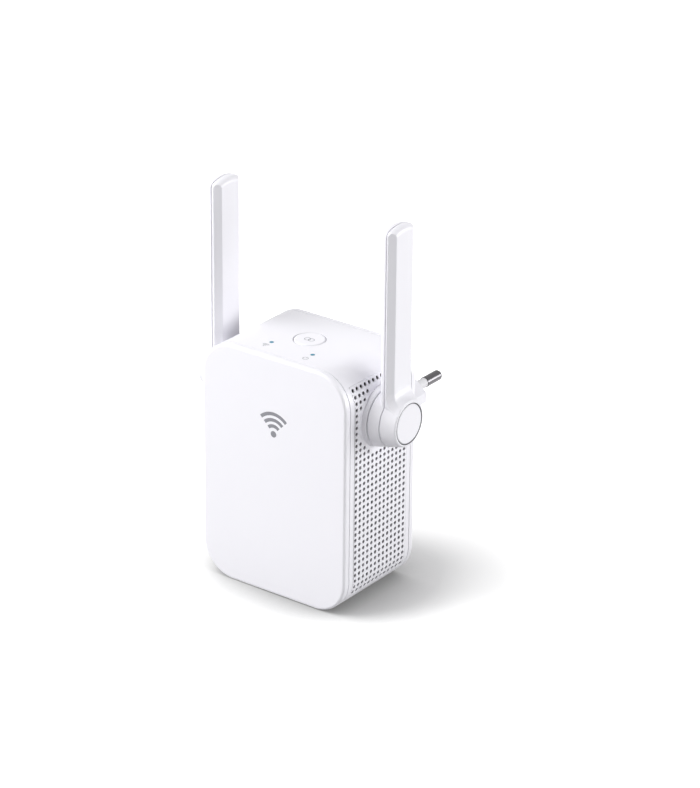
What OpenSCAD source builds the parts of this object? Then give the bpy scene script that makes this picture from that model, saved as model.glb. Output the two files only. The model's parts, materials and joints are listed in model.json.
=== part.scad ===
// Wifi range extender that plugs into a wall socket, with two folding antennas.
// Frame: +X to the viewer's right, the front face looks along -Y, the plug along +Y, +Z up.
// The origin is the middle of the bottom face, on which the body can stand. Millimetres.

/* [Body] */
// Width of the body across its side walls
body_w = 63; // [60:0.5:72]
// Height of the body
body_h = 92; // [90:0.5:104]
// Depth of the body without the plug
body_d = 41.6; // [41:0.2:48]
// Radius of the four long corners
corner_r = 13.1; // [11.5:0.1:15]
// Wall thickness of the housing
wall = 1.6; // [1.2:0.1:2]
// Depth of the front cover at its edge
front_cover_d = 2.6; // [2.4:0.1:3.6]
// Thickness of the front cover's face
front_face_t = 1.5; // [1.2:0.1:2]
// Rounding of the front cover's outer edge
front_edge_r = 1; // [0.5:0.1:1.5]
// Depth of the rear cover at its edge
rear_cover_d = 2.9; // [2.6:0.1:4]
// Thickness of the rear cover's face
rear_face_t = 1.8; // [1.4:0.1:2.4]
// Rounding of the rear cover's outer edge
rear_edge_r = 1.4; // [0.5:0.1:1.8]
// How far each cover's lip reaches into the housing
lip_d = 1.5; // [1:0.1:2.5]
// Thickness of each cover's lip
lip_t = 1.2; // [0.8:0.1:1.6]

/* [Side grilles] */
// Diameter of a grille hole
hole_d = 1.4; // [0.8:0.05:1.7]
// Distance between grille columns
column_pitch = 2.37; // [2.2:0.01:2.6]
// Distance between grille rows
row_pitch = 2.28; // [2.1:0.01:2.5]
// Height of the grille panel's lower edge above the base
grille_bottom = 6.6; // [5:0.1:9]
// Distance from the top face down to the panel's upper edge
grille_top = 5.2; // [4:0.1:8]
// Plain border around the holes of a panel
grille_border = 1.3; // [1:0.1:2]
// Plain ring between the hinge flange and the nearest hole centres
hub_margin = 1.55; // [0.8:0.05:4]
// Reach of the panel's flange behind the window's edge
grille_flange = 0.9; // [0.6:0.1:1.2]
// Thickness of the panel's flange
grille_flange_t = 0.8; // [0.6:0.1:1.2]

/* [Hinges] */
// Hinge axis behind the front face
hinge_from_front = 20.5; // [19:0.1:22]
// Hinge axis below the top face
hinge_from_top = 20.2; // [18:0.1:24]
// Radius of the fixed flange at the side wall
flange_r = 11.3; // [11:0.1:12]
// How much smaller the flange's radius is at its outer face
flange_taper = 0.3; // [0:0.05:0.6]
// Thickness of the fixed flange
flange_t = 1.7; // [1.2:0.1:2.2]
// Radius of the hinge spindle
spindle_r = 4; // [3.6:0.1:4.4]
// Radius of the lead's passage through the spindle
lead_bore_r = 2.3; // [1.5:0.1:2.6]
// Radius of the spindle's stem inside the housing
stem_r = 5; // [4.6:0.1:5.4]
// Thickness of the nut on the stem
stem_nut_t = 2.2; // [1.6:0.1:3]
// Radius across the nut's corners
stem_nut_r = 7.2; // [6.8:0.1:8]
// Thickness of the friction washer
washer_t = 0.4; // [0.3:0.05:0.6]
// Thickness of the retaining clip
clip_t = 0.6; // [0.5:0.05:0.8]

/* [Antennas] */
// Radius of the hub next to the flange
hub_root_r = 10.8; // [10.4:0.1:11]
// Radius of the hub at its outer face
hub_face_r = 8.5; // [8.4:0.1:9.2]
// Length of the hub from the flange to its outer face
hub_len = 10.5; // [10:0.1:12]
// Distance from the flange to the seam between the shells
seam_from_flange = 4.5; // [4:0.1:5]
// Reach of the antenna's tip above the hinge axis
antenna_reach = 72.8; // [60:0.2:110]
// Width of the antenna's blade
blade_w = 13.8; // [12:0.1:15]
// Thickness of each half of the blade
blade_half_t = 2.9; // [2.6:0.1:3.2]
// Width of the bevel along the blade's long edges
bevel_w = 2.1; // [1.5:0.05:2.6]
// Depth of the bevels on the blade's faces
bevel_t = 2.1; // [1.2:0.05:2.2]
// Crown of the blade's tip
tip_crown = 1.6; // [0.8:0.1:3]
// Rounding of the tip's corners
tip_corner_r = 1.8; // [1.2:0.1:3]
// Fillet where the blade's edges run into the hub
neck_fillet_r = 1.5; // [0.8:0.1:2.5]
// Wall thickness of the antenna shells
shell_t = 1.1; // [0.9:0.05:1.3]
// Radius of the scoop between the blade and the hub's rim
scoop_r = 5; // [4:0.1:6]
// Width of the shadow gap between the antenna's shells
seam_groove_w = 0.35; // [0.2:0.05:0.5]
// Depth of the shadow gap between the antenna's shells
seam_groove_d = 0.45; // [0.3:0.05:0.6]
// Radius of the hub cap
hub_cap_r = 7.3; // [7:0.1:7.6]
// Thickness of the hub cap's disc
hub_cap_t = 1.2; // [1:0.1:1.5]

/* [Plug] */
// Plug centre in from the right-hand side
plug_from_side = 22; // [22:0.5:41]
// Plug centre below the top face
plug_from_top = 26.7; // [25:0.1:32]
// Distance between the pins
pin_pitch = 19; // [18:0.1:19.5]
// Radius of a pin's metal tip
pin_r = 2; // [1.8:0.05:2.4]
// Length of a pin's metal tip
pin_tip_len = 9; // [8:0.1:10]
// Length of a pin's insulated part
pin_sleeve_len = 10; // [8:0.1:11]
// Radius of the metal core inside the sleeve
pin_core_r = 1.5; // [1.3:0.05:1.6]
// Wall thickness of the sleeve
sleeve_t = 0.3; // [0.2:0.05:0.4]
// Height of the plug's boss above the rear cover
boss_h = 12.6; // [4:0.1:18]
// Width of the boss
boss_w = 35.3; // [34:0.1:36]
// Thickness of the boss
boss_t = 13.7; // [13:0.1:14.5]
// Height of the boss's blunt ends
boss_end = 3.6; // [3:0.1:5]
// Width of the boss's flat top and bottom
boss_flat_w = 23.4; // [20:0.1:25]

/* [Button and lights] */
// Button centre behind the front face
button_from_front = 20.9; // [19:0.1:22]
// Radius of the button's opening
button_hole_r = 5.95; // [5:0.05:6.5]
// Gap around the button
button_gap = 0.3; // [0.2:0.05:0.5]
// How far the button stands above the top face
button_proud = 0.2; // [0:0.05:0.6]
// Distance of each light from the middle
light_x = 9; // [8:0.1:12]
// Lights behind the front face
light_from_front = 10.8; // [10:0.1:12]
// Radius of a light's tip
light_r = 0.8; // [0.5:0.05:1]

/* [Ports] */
// Socket centre in from the left-hand side
jack_from_side = 20.5; // [17:0.1:21.5]
// Outer width of the network socket
jack_w = 16; // [15.5:0.1:17]
// Outer thickness of the network socket
jack_t = 13.4; // [13:0.1:14.5]
// Length of the network socket
jack_len = 16; // [15:0.1:18]
// Width of the socket's mouth
mouth_w = 11.9; // [11.8:0.05:12.4]
// Thickness of the socket's mouth
mouth_t = 7.9; // [7.8:0.05:8.4]
// Depth of the socket's mouth
mouth_d = 13; // [12.5:0.1:14]
// Reset pinhole in from the right-hand side
reset_from_side = 19.5; // [15:0.1:23]
// Radius of the reset pinhole
pinhole_r = 0.9; // [0.7:0.05:1.2]

/* [Boards] */
// Thickness of the main board
main_board_t = 1.2; // [1:0.1:1.6]
// Gap between the main board's edges and the side walls
main_board_gap = 3.9; // [3.5:0.1:5]
// Height of the main board's lower edge above the base
main_board_foot = 8.4; // [8:0.1:9]
// Thickness of the power board
power_board_t = 1.6; // [1.2:0.1:1.8]
// Gap between the power board's edges and the side walls
power_board_gap = 4.9; // [4.5:0.1:6]
// Height of the power board
power_board_h = 57; // [56:0.5:60]
// Radius of the pillars that carry the boards
pillar_r = 2.3; // [2:0.1:2.6]
// Radius of the board screws' shanks
board_screw_r = 0.9; // [0.8:0.05:1]
// Radius of the housing screws' shanks
case_screw_r = 1.1; // [1:0.05:1.3]
// Width of the shadow gap where a cover meets the housing
joint_groove_w = 0.25; // [0.1:0.05:0.4]
// Depth of that shadow gap
joint_groove_d = 0.35; // [0.2:0.05:0.5]

/* [Fits] */
// Play between the spindle and the antenna
spindle_play = 0.05; // [0.03:0.01:0.1]
// Gap between the pieces of a loose seat
seat_gap = 0.1; // [0.05:0.01:0.2]
// Running gap between a turning face and a fixed one
run_gap = 0.25; // [0.2:0.01:0.4]
// Travel of the pairing button
button_travel = 0.4; // [0.25:0.05:0.5]
// Travel of the reset switch
reset_travel = 0.25; // [0.2:0.05:0.3]

/* [Hidden] */
$fn = 64;

// Colours of the plastics, metals and boards
white_plastic = [0.95, 0.95, 0.97];
grey_plastic = [0.72, 0.72, 0.74];
black_plastic = [0.08, 0.08, 0.09];
blue_light = [0.1, 0.45, 0.85];
clear_plastic = [0.85, 0.92, 1];
steel = [0.78, 0.78, 0.8];
gold = [0.85, 0.68, 0.3];
copper = [0.8, 0.5, 0.25];
board_green = [0.1, 0.4, 0.22];
fish_paper = [0.9, 0.87, 0.75];

// A small overlap that keeps cuts and joined solids clean
nick = 0.01;

// Faces of the body and of the joints between its covers
front_y = -body_d / 2;
rear_y = body_d / 2;
side_x = body_w / 2;
front_joint_y = front_y + front_cover_d;
rear_joint_y = rear_y - rear_cover_d;
front_inner_y = front_y + front_face_t;
rear_inner_y = rear_y - rear_face_t;
lip_inset = wall + seat_gap;

// Window of a grille panel, and its pattern of holes
window_y0 = front_joint_y + lip_d + grille_flange + seat_gap;
window_y1 = rear_joint_y - lip_d - grille_flange - seat_gap;
window_z0 = grille_bottom;
window_z1 = body_h - grille_top;
columns = floor((window_y1 - window_y0 - 2 * grille_border) / column_pitch) + 1;
rows = floor((window_z1 - window_z0 - 2 * grille_border) / row_pitch) + 1;
hub_clear_r = flange_r + hub_margin;

// Stations of a hinge along X, counted outwards on the right-hand side
hinge_y = front_y + hinge_from_front;
hinge_z = body_h - hinge_from_top;
flange_x = side_x + flange_t;
hub_root_x = flange_x + run_gap;
washer_x = flange_x + washer_t;
seam_x = flange_x + seam_from_flange;
hub_face_x = flange_x + hub_len;
hub_floor_t = 1.2;
hub_boss_len = 4.7;
hub_boss_r = 6.2;
hub_boss_x = washer_x + hub_boss_len;
clip_play = 0.1;
clip_x = hub_boss_x + clip_play;
spindle_end_x = clip_x + clip_t + 0.8;
clip_groove_r = spindle_r - 0.7;
clip_r = 5.8;
washer_r = 7.4;
stem_nut_x = side_x - wall - stem_nut_t;
stem_end_x = stem_nut_x - 0.8;

// The antenna above its hinge axis
blade_face_x = seam_x + blade_half_t;
blade_back_x = seam_x - blade_half_t;
tip_r = (pow(blade_w / 2, 2) + pow(tip_crown, 2)) / (2 * tip_crown);
tip_z = hinge_z + antenna_reach - tip_r;
drum_slope = (hub_root_r - hub_face_r) / (hub_face_x - hub_root_x);
cap_seat_x = hub_face_x - hub_cap_t;
cap_ledge_t = 1.1;
cap_groove = 0.35;
cap_spigot_r = hub_cap_r - 0.8;
cap_spigot_t = 1.1;
element_w = 7.2;
element_t = 0.8;
element_foot = 20;
element_tip_gap = 6.8;
element_len = antenna_reach - element_foot - element_tip_gap;
track_t = 0.1;
track_w = 1.6;
lead_r = 0.65;
lead_gap = 0.2;
lead_end_x = spindle_end_x + 0.3;
lead_plug_r = 1.3;
lead_plug_h = 1.4;
lead_plug_d = 0.4;

// The plug
plug_x = side_x - plug_from_side;
plug_z = body_h - plug_from_top;
boss_face_y = rear_y + boss_h;
sleeve_end_y = boss_face_y + pin_sleeve_len;
pin_end_y = sleeve_end_y + pin_tip_len;
pin_tip_round = 1;
sleeve_seat_d = 3;
sleeve_r = pin_core_r + sleeve_t;
insert_flange_t = 2;
insert_flange_w = 1.1;
pin_tail = 1.2;
pin_root_y = rear_inner_y - insert_flange_t - pin_tail;
leaf_t = 0.4;
leaf_w = 3;
leaf_len = 7;

// The boards: the main one on the front cover's pillars, the power one on the rear cover's
led_t = 0.8;
main_board_y = front_y + light_from_front + led_t;
main_board_rear_y = main_board_y + main_board_t;
main_board_w = body_w - 2 * (wall + main_board_gap);
main_board_z0 = main_board_foot;
main_board_headroom = 10;
main_board_z1 = body_h - main_board_headroom;
pin_contact_rise = 1.8;
power_board_rear_y = pin_root_y - pin_contact_rise;
power_board_y = power_board_rear_y - power_board_t;
power_board_w = body_w - 2 * (wall + power_board_gap);
power_board_headroom = 9;
power_board_z1 = body_h - power_board_headroom;
power_board_z0 = power_board_z1 - power_board_h;
pillar_inset = 3.5;
main_pillar_foot = 3.6;
main_pillar_head = 6;
power_pillar_foot = 5;
power_pillar_head = 4.5;
main_pillar_x = main_board_w / 2 - pillar_inset;
power_pillar_x = power_board_w / 2 - pillar_inset;
main_pillars = [
    for (sx = [-1, 1], z = [main_board_z0 + main_pillar_foot, main_board_z1 - main_pillar_head])
        [sx * main_pillar_x, z]
];
power_pillars = [
    for (sx = [-1, 1], z = [power_board_z0 + power_pillar_foot,
                            power_board_z1 - power_pillar_head])
        [sx * power_pillar_x, z]
];
board_screw_len = 6;
board_screw_head_r = 1.8;
board_screw_head_t = 1.2;
screw_play = 0.05;

// Parts on the main board's front; "below" is from its upper edge, "inset" from its side edge
shield_inset = 8;
shield_below = 5;
shield_h = 10;
shield_d = 2.4;
shield_t = 0.3;
spreader_w = 27;
spreader_h = 29;
spreader_t = 1.5;
spreader_below = 17;
spreader_left = 1.5;
rib_h = 3;
rib_t = 1.2;
rib_pitch = 3.6;
chip_t = 1.2;
chip_margin = 2;
big_chip_w = 12;
small_chip_w = 9;
line_transformer_w = 12;
line_transformer_h = 9;
line_transformer_d = 5.5;
line_transformer_above = 6.6;

// Parts on the power board's front, placed in the same way
transformer_w = 18;
transformer_h = 16;
transformer_d = 14;
transformer_leg = 4;
transformer_below = 38;
bulk_can_r = 5;
bulk_can_h = 13;
bulk_can_inset = 10;
bulk_can_below = 13;
bulk_can_pitch = 12;
output_can_r = 3.6;
output_can_h = 10;
output_can_inset = 8;
output_can_below = 37;
output_can_pitch = 10;
can_groove = 0.5;
choke_r = 4.5;
choke_h = 9;
choke_flange_t = 1.2;
choke_groove = 0.9;
choke_right = 2;
choke_below = 22;
rectifier_w = 8;
rectifier_h = 6.5;
rectifier_d = 2.6;
rectifier_below = 7.5;
fuse_r = 1.8;
fuse_len = 9;
fuse_cap_len = 2;
fuse_waist = 0.3;
fuse_inset = 16;
fuse_below = 5;
safety_r = 4;
safety_t = 3;
safety_inset = 9;
safety_below = 25;
link_w = 10;
link_h = 2.5;
link_inset = 7;
link_above = 0.6;
sheet_t = 0.4;
sheet_h = 34;
sheet_below = 19;

// The posts for the housing screws, tucked into the corners
post_r = 2.4;
post_reach = corner_r - 3.7;
post_angle = 60;
post_len = 14;
post_x = side_x - corner_r + post_reach * cos(post_angle);
post_z = corner_r - post_reach * sin(post_angle);
posts = [for (sx = [-1, 1], z = [post_z, body_h - post_z]) [sx * post_x, z]];
post_y = rear_joint_y - lip_d;
case_screw_head_r = 2;
case_screw_head_t = 1.2;
case_screw_sink = 1.3;
case_screw_len = 12;

// The button, its collar and its switch
button_y = front_y + button_from_front;
button_r = button_hole_r - button_gap;
button_top_z = body_h + button_proud;
button_finger_w = 2.6;
button_finger_t = 1.6;
button_edge = 0.35;
button_flange_r = button_hole_r + 0.65;
button_flange_t = 1.6;
button_flange_z = body_h - wall - button_travel - 0.3 - button_flange_t;
collar_r = button_flange_r + 0.3;
collar_t = 1.2;
collar_h = 4;
switch_w = 6;
switch_d = 6;
pair_switch_h = 3.5;
pair_switch_below = 6.5;
pair_switch_z = main_board_z1 - pair_switch_below;
pair_plunger_y = main_board_rear_y + switch_d / 2;
pair_plunger_h = 1.4;
pair_plunger_r = 1.6;
pair_plunger_z = pair_switch_z + pair_switch_h + pair_plunger_h;
plunger_play = 0.1;
plunger_root = 1.1;

// The reset switch above its pinhole
reset_x = side_x - reset_from_side;
reset_switch_h = 3.5;
reset_plunger_r = 0.75;
reset_plunger_h = 2.6;
reset_switch_z = main_board_z0 + 0.6;
reset_y = main_board_rear_y + 2.4;

// The lights
guide_r = 1.3;
guide_flange_r = 2.1;
guide_flange_t = 1.2;
guide_foot_z = main_board_z1 + 0.4;
light_y = front_y + light_from_front;

// The network socket, its mouth at the bottom
jack_x = jack_from_side - side_x;
jack_y0 = main_board_rear_y;
jack_y1 = jack_y0 + jack_t;
jack_z0 = 0.3;
mouth_y0 = jack_y0 + (jack_t - mouth_t) / 2 - 0.6;
mouth_y1 = mouth_y0 + mouth_t;
latch_w = 6.2;
latch_d = 1.7;
contact_pitch = 1.02;
contact_r = 0.2;

// ---------- helpers ----------

// A box between two corners.
module block(low, high) {
    translate(low) cube(high - low);
}

// Extrudes a shape drawn in X and Z from y0 to y1.
module along_y(y0, y1) {
    translate([0, y1, 0]) rotate([90, 0, 0]) linear_extrude(y1 - y0) children();
}

// Extrudes a shape drawn in Y and Z from x0 to x1.
module along_x(x0, x1) {
    translate([x0, 0, 0]) rotate([90, 0, 90]) linear_extrude(x1 - x0) children();
}

// A round bar along Y through a point [x, z].
module bar_y(at, r, y0, y1) {
    translate([at[0], y1, at[1]]) rotate([90, 0, 0]) cylinder(r = r, h = y1 - y0);
}

// A solid turned about the hinge axis; its points are [radius, x].
module turned(points) {
    translate([0, hinge_y, hinge_z]) rotate([0, 90, 0]) rotate_extrude() polygon(points);
}

// A round bar along the hinge axis.
module hinge_bar(r, x0, x1) {
    turned([[0, x0], [r, x0], [r, x1], [0, x1]]);
}

// Builds the right-hand piece, or its mirror image on the left.
module on_side(side) {
    mirror([side < 0 ? 1 : 0, 0, 0]) children();
}

// The rounded outline of the body in X and Z, drawn in by an inset.
module outline(inset = 0) {
    across = body_w / 2 - corner_r;
    up = body_h / 2 - corner_r;
    translate([0, body_h / 2]) {
        square([body_w - 2 * inset, 2 * up], center = true);
        square([2 * across, body_h - 2 * inset], center = true);
        for (sx = [-1, 1], sz = [-1, 1])
            translate([sx * across, sz * up]) circle(corner_r - inset);
    }
}

// A ring of the body's outline between two insets.
module outline_ring(inset, depth) {
    difference() {
        outline(inset);
        outline(inset + depth);
    }
}

// Half the section of a plate whose outer edge is rounded, from the middle out to reach.
module rounded_half_section(reach, h, edge_r) {
    square([reach - edge_r, h]);
    square([reach, h - edge_r]);
    translate([reach - edge_r, h - edge_r]) circle(edge_r);
}

// A plate of the body's outline, h thick along +Z, with its far edge rounded.
module rounded_plate(h, edge_r) {
    across = body_w / 2 - corner_r;
    up = body_h / 2 - corner_r;
    translate([0, body_h / 2, 0]) {
        for (sx = [-1, 1], sy = [-1, 1])
            translate([sx * across, sy * up, 0])
                rotate_extrude() rounded_half_section(corner_r, h, edge_r);
        rotate([90, 0, 0]) linear_extrude(2 * up, center = true) {
            rounded_half_section(body_w / 2, h, edge_r);
            mirror([1, 0]) rounded_half_section(body_w / 2, h, edge_r);
        }
        rotate([90, 0, 90]) linear_extrude(2 * across, center = true) {
            rounded_half_section(body_h / 2, h, edge_r);
            mirror([1, 0]) rounded_half_section(body_h / 2, h, edge_r);
        }
    }
}

// The elongated six-sided outline of the plug's boss, grown by a margin.
module boss_outline(grow = 0) {
    w = boss_w / 2 + grow;
    t = boss_t / 2 + grow;
    translate([plug_x, plug_z])
        polygon([
            [w, -boss_end / 2], [w, boss_end / 2], [boss_flat_w / 2, t], [-boss_flat_w / 2, t],
            [-w, boss_end / 2], [-w, -boss_end / 2], [-boss_flat_w / 2, -t], [boss_flat_w / 2, -t]
        ]);
}

// A lead with round-numbered way points, swept as one closed tube.
function unit(v) = v / norm(v);
function lead_heading(p, i) =
    unit(p[min(i + 1, len(p) - 1)] - p[max(i - 1, 0)]);
function lead_side(d) = unit(cross(d, [0, 1, 0.01]));
function lead_ring(p, i, r, sides) =
    let (d = lead_heading(p, i), u = lead_side(d), v = cross(d, u))
        [for (k = [0:sides - 1]) p[i] + r * (cos(360 * k / sides) * u + sin(360 * k / sides) * v)];
module lead(p, r, sides = 10) {
    n = len(p);
    ring_points = [for (i = [0:n - 1]) each lead_ring(p, i, r, sides)];
    walls = [
        for (i = [0:n - 2], k = [0:sides - 1])
            [i * sides + k, i * sides + (k + 1) % sides,
             (i + 1) * sides + (k + 1) % sides, (i + 1) * sides + k]
    ];
    start = [[for (k = [sides - 1:-1:0]) k]];
    end = [[for (k = [0:sides - 1]) (n - 1) * sides + k]];
    polyhedron(ring_points, concat(start, walls, end));
}

// A smooth path of points between way points, by a Catmull-Rom curve.
function curve_point(a, b, c, d, t) =
    0.5 * (2 * b + (c - a) * t + (2 * a - 5 * b + 4 * c - d) * t * t
        + (3 * b - a - 3 * c + d) * t * t * t);
function curve(p, steps = 4) = concat(
    [
        for (i = [0:len(p) - 2], s = [0:steps - 1])
            curve_point(p[max(i - 1, 0)], p[i], p[i + 1], p[min(i + 2, len(p) - 1)], s / steps)
    ],
    [p[len(p) - 1]]
);

// ---------- housing ----------

// The shallow front cover, with a lip for the housing and pillars for the main board.
module front_cover() {
    color(white_plastic) {
        difference() {
            translate([0, front_joint_y, 0]) rotate([90, 0, 0])
                rounded_plate(front_cover_d, front_edge_r);
            along_y(front_inner_y, front_joint_y + nick) outline(lip_inset + lip_t);
        }
        along_y(front_joint_y - nick, front_joint_y + lip_d) outline_ring(lip_inset, lip_t);
        for (at = main_pillars)
            difference() {
                bar_y(at, pillar_r, front_inner_y - nick, main_board_y);
                bar_y(at, board_screw_r + screw_play, front_inner_y + 1, main_board_y + nick);
            }
    }
}

// The sleeve-shaped main housing, open at the front and the rear.
module main_housing() {
    color(white_plastic) difference() {
        union() {
            along_y(front_joint_y, rear_joint_y) outline_ring(0, wall);
            // collar that guides the button
            translate([0, button_y, body_h - wall - collar_h])
                cylinder(r = collar_r + collar_t, h = collar_h + nick);
            // posts for the housing screws
            for (at = posts) bar_y(at, post_r, post_y - post_len, post_y);
        }
        // shadow gaps along the covers
        along_y(front_joint_y - nick, front_joint_y + joint_groove_w)
            outline_ring(-1, 1 + joint_groove_d);
        along_y(rear_joint_y - joint_groove_w, rear_joint_y + nick)
            outline_ring(-1, 1 + joint_groove_d);
        for (at = posts)
            bar_y(at, case_screw_r + screw_play, post_y - post_len + 1, post_y + nick);
        translate([0, button_y, body_h - wall - collar_h - nick])
            cylinder(r = collar_r, h = collar_h + nick);
        translate([0, button_y, body_h - wall - 1]) cylinder(r = button_hole_r, h = wall + 2);
        for (sx = [-1, 1])
            translate([sx * light_x, light_y, body_h - wall - 1])
                cylinder(r = light_r + seat_gap / 2, h = wall + 2);
        // mouths for the network socket and the reset pin
        block([jack_x - jack_w / 2 - seat_gap, jack_y0 - seat_gap, -1],
              [jack_x + jack_w / 2 + seat_gap, jack_y1 + seat_gap, wall + 1]);
        translate([reset_x, reset_y, -1]) cylinder(r = pinhole_r, h = wall + 2);
        // windows for the grille panels
        for (side = [-1, 1]) on_side(side) intersection() {
            window_block(0);
            along_y(front_y, rear_y) outline_ring(-1, 1 + wall + seat_gap / 2);
        }
    }
}

// The centres [y, z] of a grille's holes: a plain grid that keeps clear of the hinge.
function grille_holes() = [
    for (i = [0:columns - 1], j = [0:rows - 1])
        let (
            y = (window_y0 + window_y1) / 2 + (i - (columns - 1) / 2) * column_pitch,
            z = (window_z0 + window_z1) / 2 + (j - (rows - 1) / 2) * row_pitch
        )
        if (norm([y - hinge_y, z - hinge_z]) > hub_clear_r) [y, z]
];

// The window of a grille panel grown or shrunk by a margin, as a block.
module window_block(grow) {
    block([side_x - corner_r, window_y0 - grow, window_z0 - grow],
          [side_x + 1, window_y1 + grow, window_z1 + grow]);
}

// A perforated side panel that follows the housing's curve, held by a flange behind the wall.
module side_grille(side) {
    on_side(side) color(white_plastic) difference() {
        union() {
            intersection() {
                along_y(window_y0 - 1, window_y1 + 1) outline_ring(0, wall);
                window_block(-seat_gap / 2);
            }
            difference() {
                intersection() {
                    along_y(window_y0 - 2, window_y1 + 2) outline_ring(wall, grille_flange_t);
                    window_block(grille_flange);
                }
                window_block(hole_d / 2 - grille_border);
                for (at = posts) bar_y(at, post_r + seat_gap, window_y0 - 3, window_y1 + 3);
            }
        }
        along_x(side_x - corner_r - 1, side_x + 2)
            for (at = grille_holes()) translate(at) circle(hole_d / 2);
        hinge_bar(stem_r + seat_gap, side_x - corner_r, side_x + 2);
    }
}

// The rear cover, with the plug's hole, a lip, and pillars for the power board.
module rear_cover() {
    color(white_plastic) difference() {
        union() {
            difference() {
                translate([0, rear_joint_y, 0]) mirror([0, 1, 0]) rotate([90, 0, 0])
                    rounded_plate(rear_cover_d, rear_edge_r);
                along_y(rear_joint_y - nick, rear_inner_y) outline(lip_inset + lip_t);
            }
            along_y(rear_joint_y - lip_d, rear_joint_y + nick) outline_ring(lip_inset, lip_t);
            intersection() {
                for (at = posts) bar_y(at, post_r, post_y, rear_inner_y + nick);
                along_y(post_y, rear_y) outline(lip_inset);
            }
            for (at = power_pillars)
                bar_y(at, pillar_r, power_board_rear_y, rear_inner_y + nick);
        }
        along_y(rear_joint_y, rear_y + 1) boss_outline(seat_gap);
        for (at = posts) {
            bar_y(at, case_screw_r + screw_play, post_y - 1, rear_y + 1);
            bar_y(at, case_screw_head_r + seat_gap, rear_y - case_screw_sink, rear_y + 1);
        }
        for (at = power_pillars)
            bar_y(at, board_screw_r + screw_play, power_board_rear_y - 1, rear_inner_y - 0.6);
    }
}

// The screws that hold the rear cover on the housing.
module case_screws() {
    color(steel) for (at = posts) {
        head_y = rear_y - case_screw_sink;
        difference() {
            bar_y(at, case_screw_head_r, head_y, head_y + case_screw_head_t);
            // cross recess
            for (turn = [0, 90])
                translate([at[0], head_y + case_screw_head_t, at[1]]) rotate([0, turn, 0])
                    cube([2.4, 1.2, 0.5], center = true);
        }
        bar_y(at, case_screw_r, head_y - case_screw_len, head_y + nick);
    }
}

// ---------- plug ----------

// The moulded insert that holds the two pins, glued behind the rear cover.
module plug_insert() {
    pins = [plug_x - pin_pitch / 2, plug_x + pin_pitch / 2];
    color(white_plastic) difference() {
        union() {
            along_y(rear_inner_y - nick, boss_face_y) boss_outline();
            along_y(rear_inner_y - insert_flange_t, rear_inner_y) boss_outline(insert_flange_w);
        }
        for (x = pins) {
            bar_y([x, plug_z], pin_core_r + screw_play, pin_root_y - 1, boss_face_y + 1);
            bar_y([x, plug_z], sleeve_r + screw_play, boss_face_y - sleeve_seat_d,
                  boss_face_y + 1);
        }
    }
}

// A metal pin: a thin core through the insert and a thick tip with a rounded end.
module plug_pin(side) {
    x = plug_x + side * pin_pitch / 2;
    color(steel) translate([x, 0, plug_z]) rotate([-90, 0, 0]) rotate_extrude() {
        translate([0, pin_root_y]) square([pin_core_r, sleeve_end_y - pin_root_y + nick]);
        translate([0, sleeve_end_y]) square([pin_r, pin_tip_len - pin_tip_round]);
        translate([0, sleeve_end_y]) square([pin_r - pin_tip_round, pin_tip_len]);
        intersection() {
            translate([pin_r - pin_tip_round, pin_end_y - pin_tip_round]) circle(pin_tip_round);
            translate([0, sleeve_end_y]) square([pin_r, pin_tip_len]);
        }
    }
}

// The insulating sleeve round the root of a pin.
module pin_sleeve(side) {
    x = plug_x + side * pin_pitch / 2;
    color(grey_plastic) difference() {
        bar_y([x, plug_z], sleeve_r, boss_face_y - sleeve_seat_d + nick, sleeve_end_y - nick);
        bar_y([x, plug_z], pin_core_r + nick, boss_face_y - sleeve_seat_d - 1, sleeve_end_y + 1);
    }
}

// Two leaf springs on the power board that press on the roots of the pins.
module pin_contacts() {
    rise = pin_contact_rise;
    color(copper) for (side = [-1, 1])
        translate([plug_x + side * pin_pitch / 2 - leaf_w / 2, power_board_rear_y, plug_z])
            rotate([90, 0, 90]) linear_extrude(leaf_w)
                polygon([
                    [0, -leaf_len], [leaf_t, -leaf_len], [leaf_t, -leaf_len / 2],
                    [rise, -leaf_t], [rise, pin_core_r], [rise - leaf_t, pin_core_r],
                    [rise - leaf_t, 0], [0, -leaf_len / 2]
                ]);
}

// ---------- hinges ----------

// The fixed half of a hinge: flange, spindle with a clip groove, and a stem through the wall.
module hinge_base(side) {
    rim = 0.3;
    on_side(side) color(white_plastic) {
        turned([
            [lead_bore_r, stem_end_x], [stem_r, stem_end_x], [stem_r, side_x], [flange_r, side_x],
            [flange_r - flange_taper, flange_x - rim],
            [flange_r - flange_taper - rim, flange_x], [spindle_r, flange_x],
            [spindle_r, clip_x], [clip_groove_r, clip_x], [clip_groove_r, clip_x + clip_t],
            [spindle_r, clip_x + clip_t], [spindle_r, spindle_end_x],
            [lead_bore_r, spindle_end_x]
        ]);
        // the flange's back runs on to the wall where the wall curves away
        difference() {
            hinge_bar(flange_r, side_x - corner_r / 2, side_x + nick);
            along_y(front_y, rear_y) outline(-seat_gap / 2);
        }
    }
}

// The nut that clamps the hinge base to the side wall from inside.
module stem_nut(side) {
    on_side(side) color(white_plastic) difference() {
        translate([stem_nut_x, hinge_y, hinge_z]) rotate([0, 90, 0]) rotate([0, 0, 30])
            cylinder(r = stem_nut_r, h = stem_nut_t, $fn = 6);
        hinge_bar(stem_r + screw_play, stem_nut_x - 1, side_x);
    }
}

// The thin washer whose drag holds the antenna where it is put.
module friction_washer(side) {
    on_side(side) color(grey_plastic) difference() {
        hinge_bar(washer_r, flange_x, washer_x);
        hinge_bar(spindle_r + seat_gap, flange_x - 1, washer_x + 1);
    }
}

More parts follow.
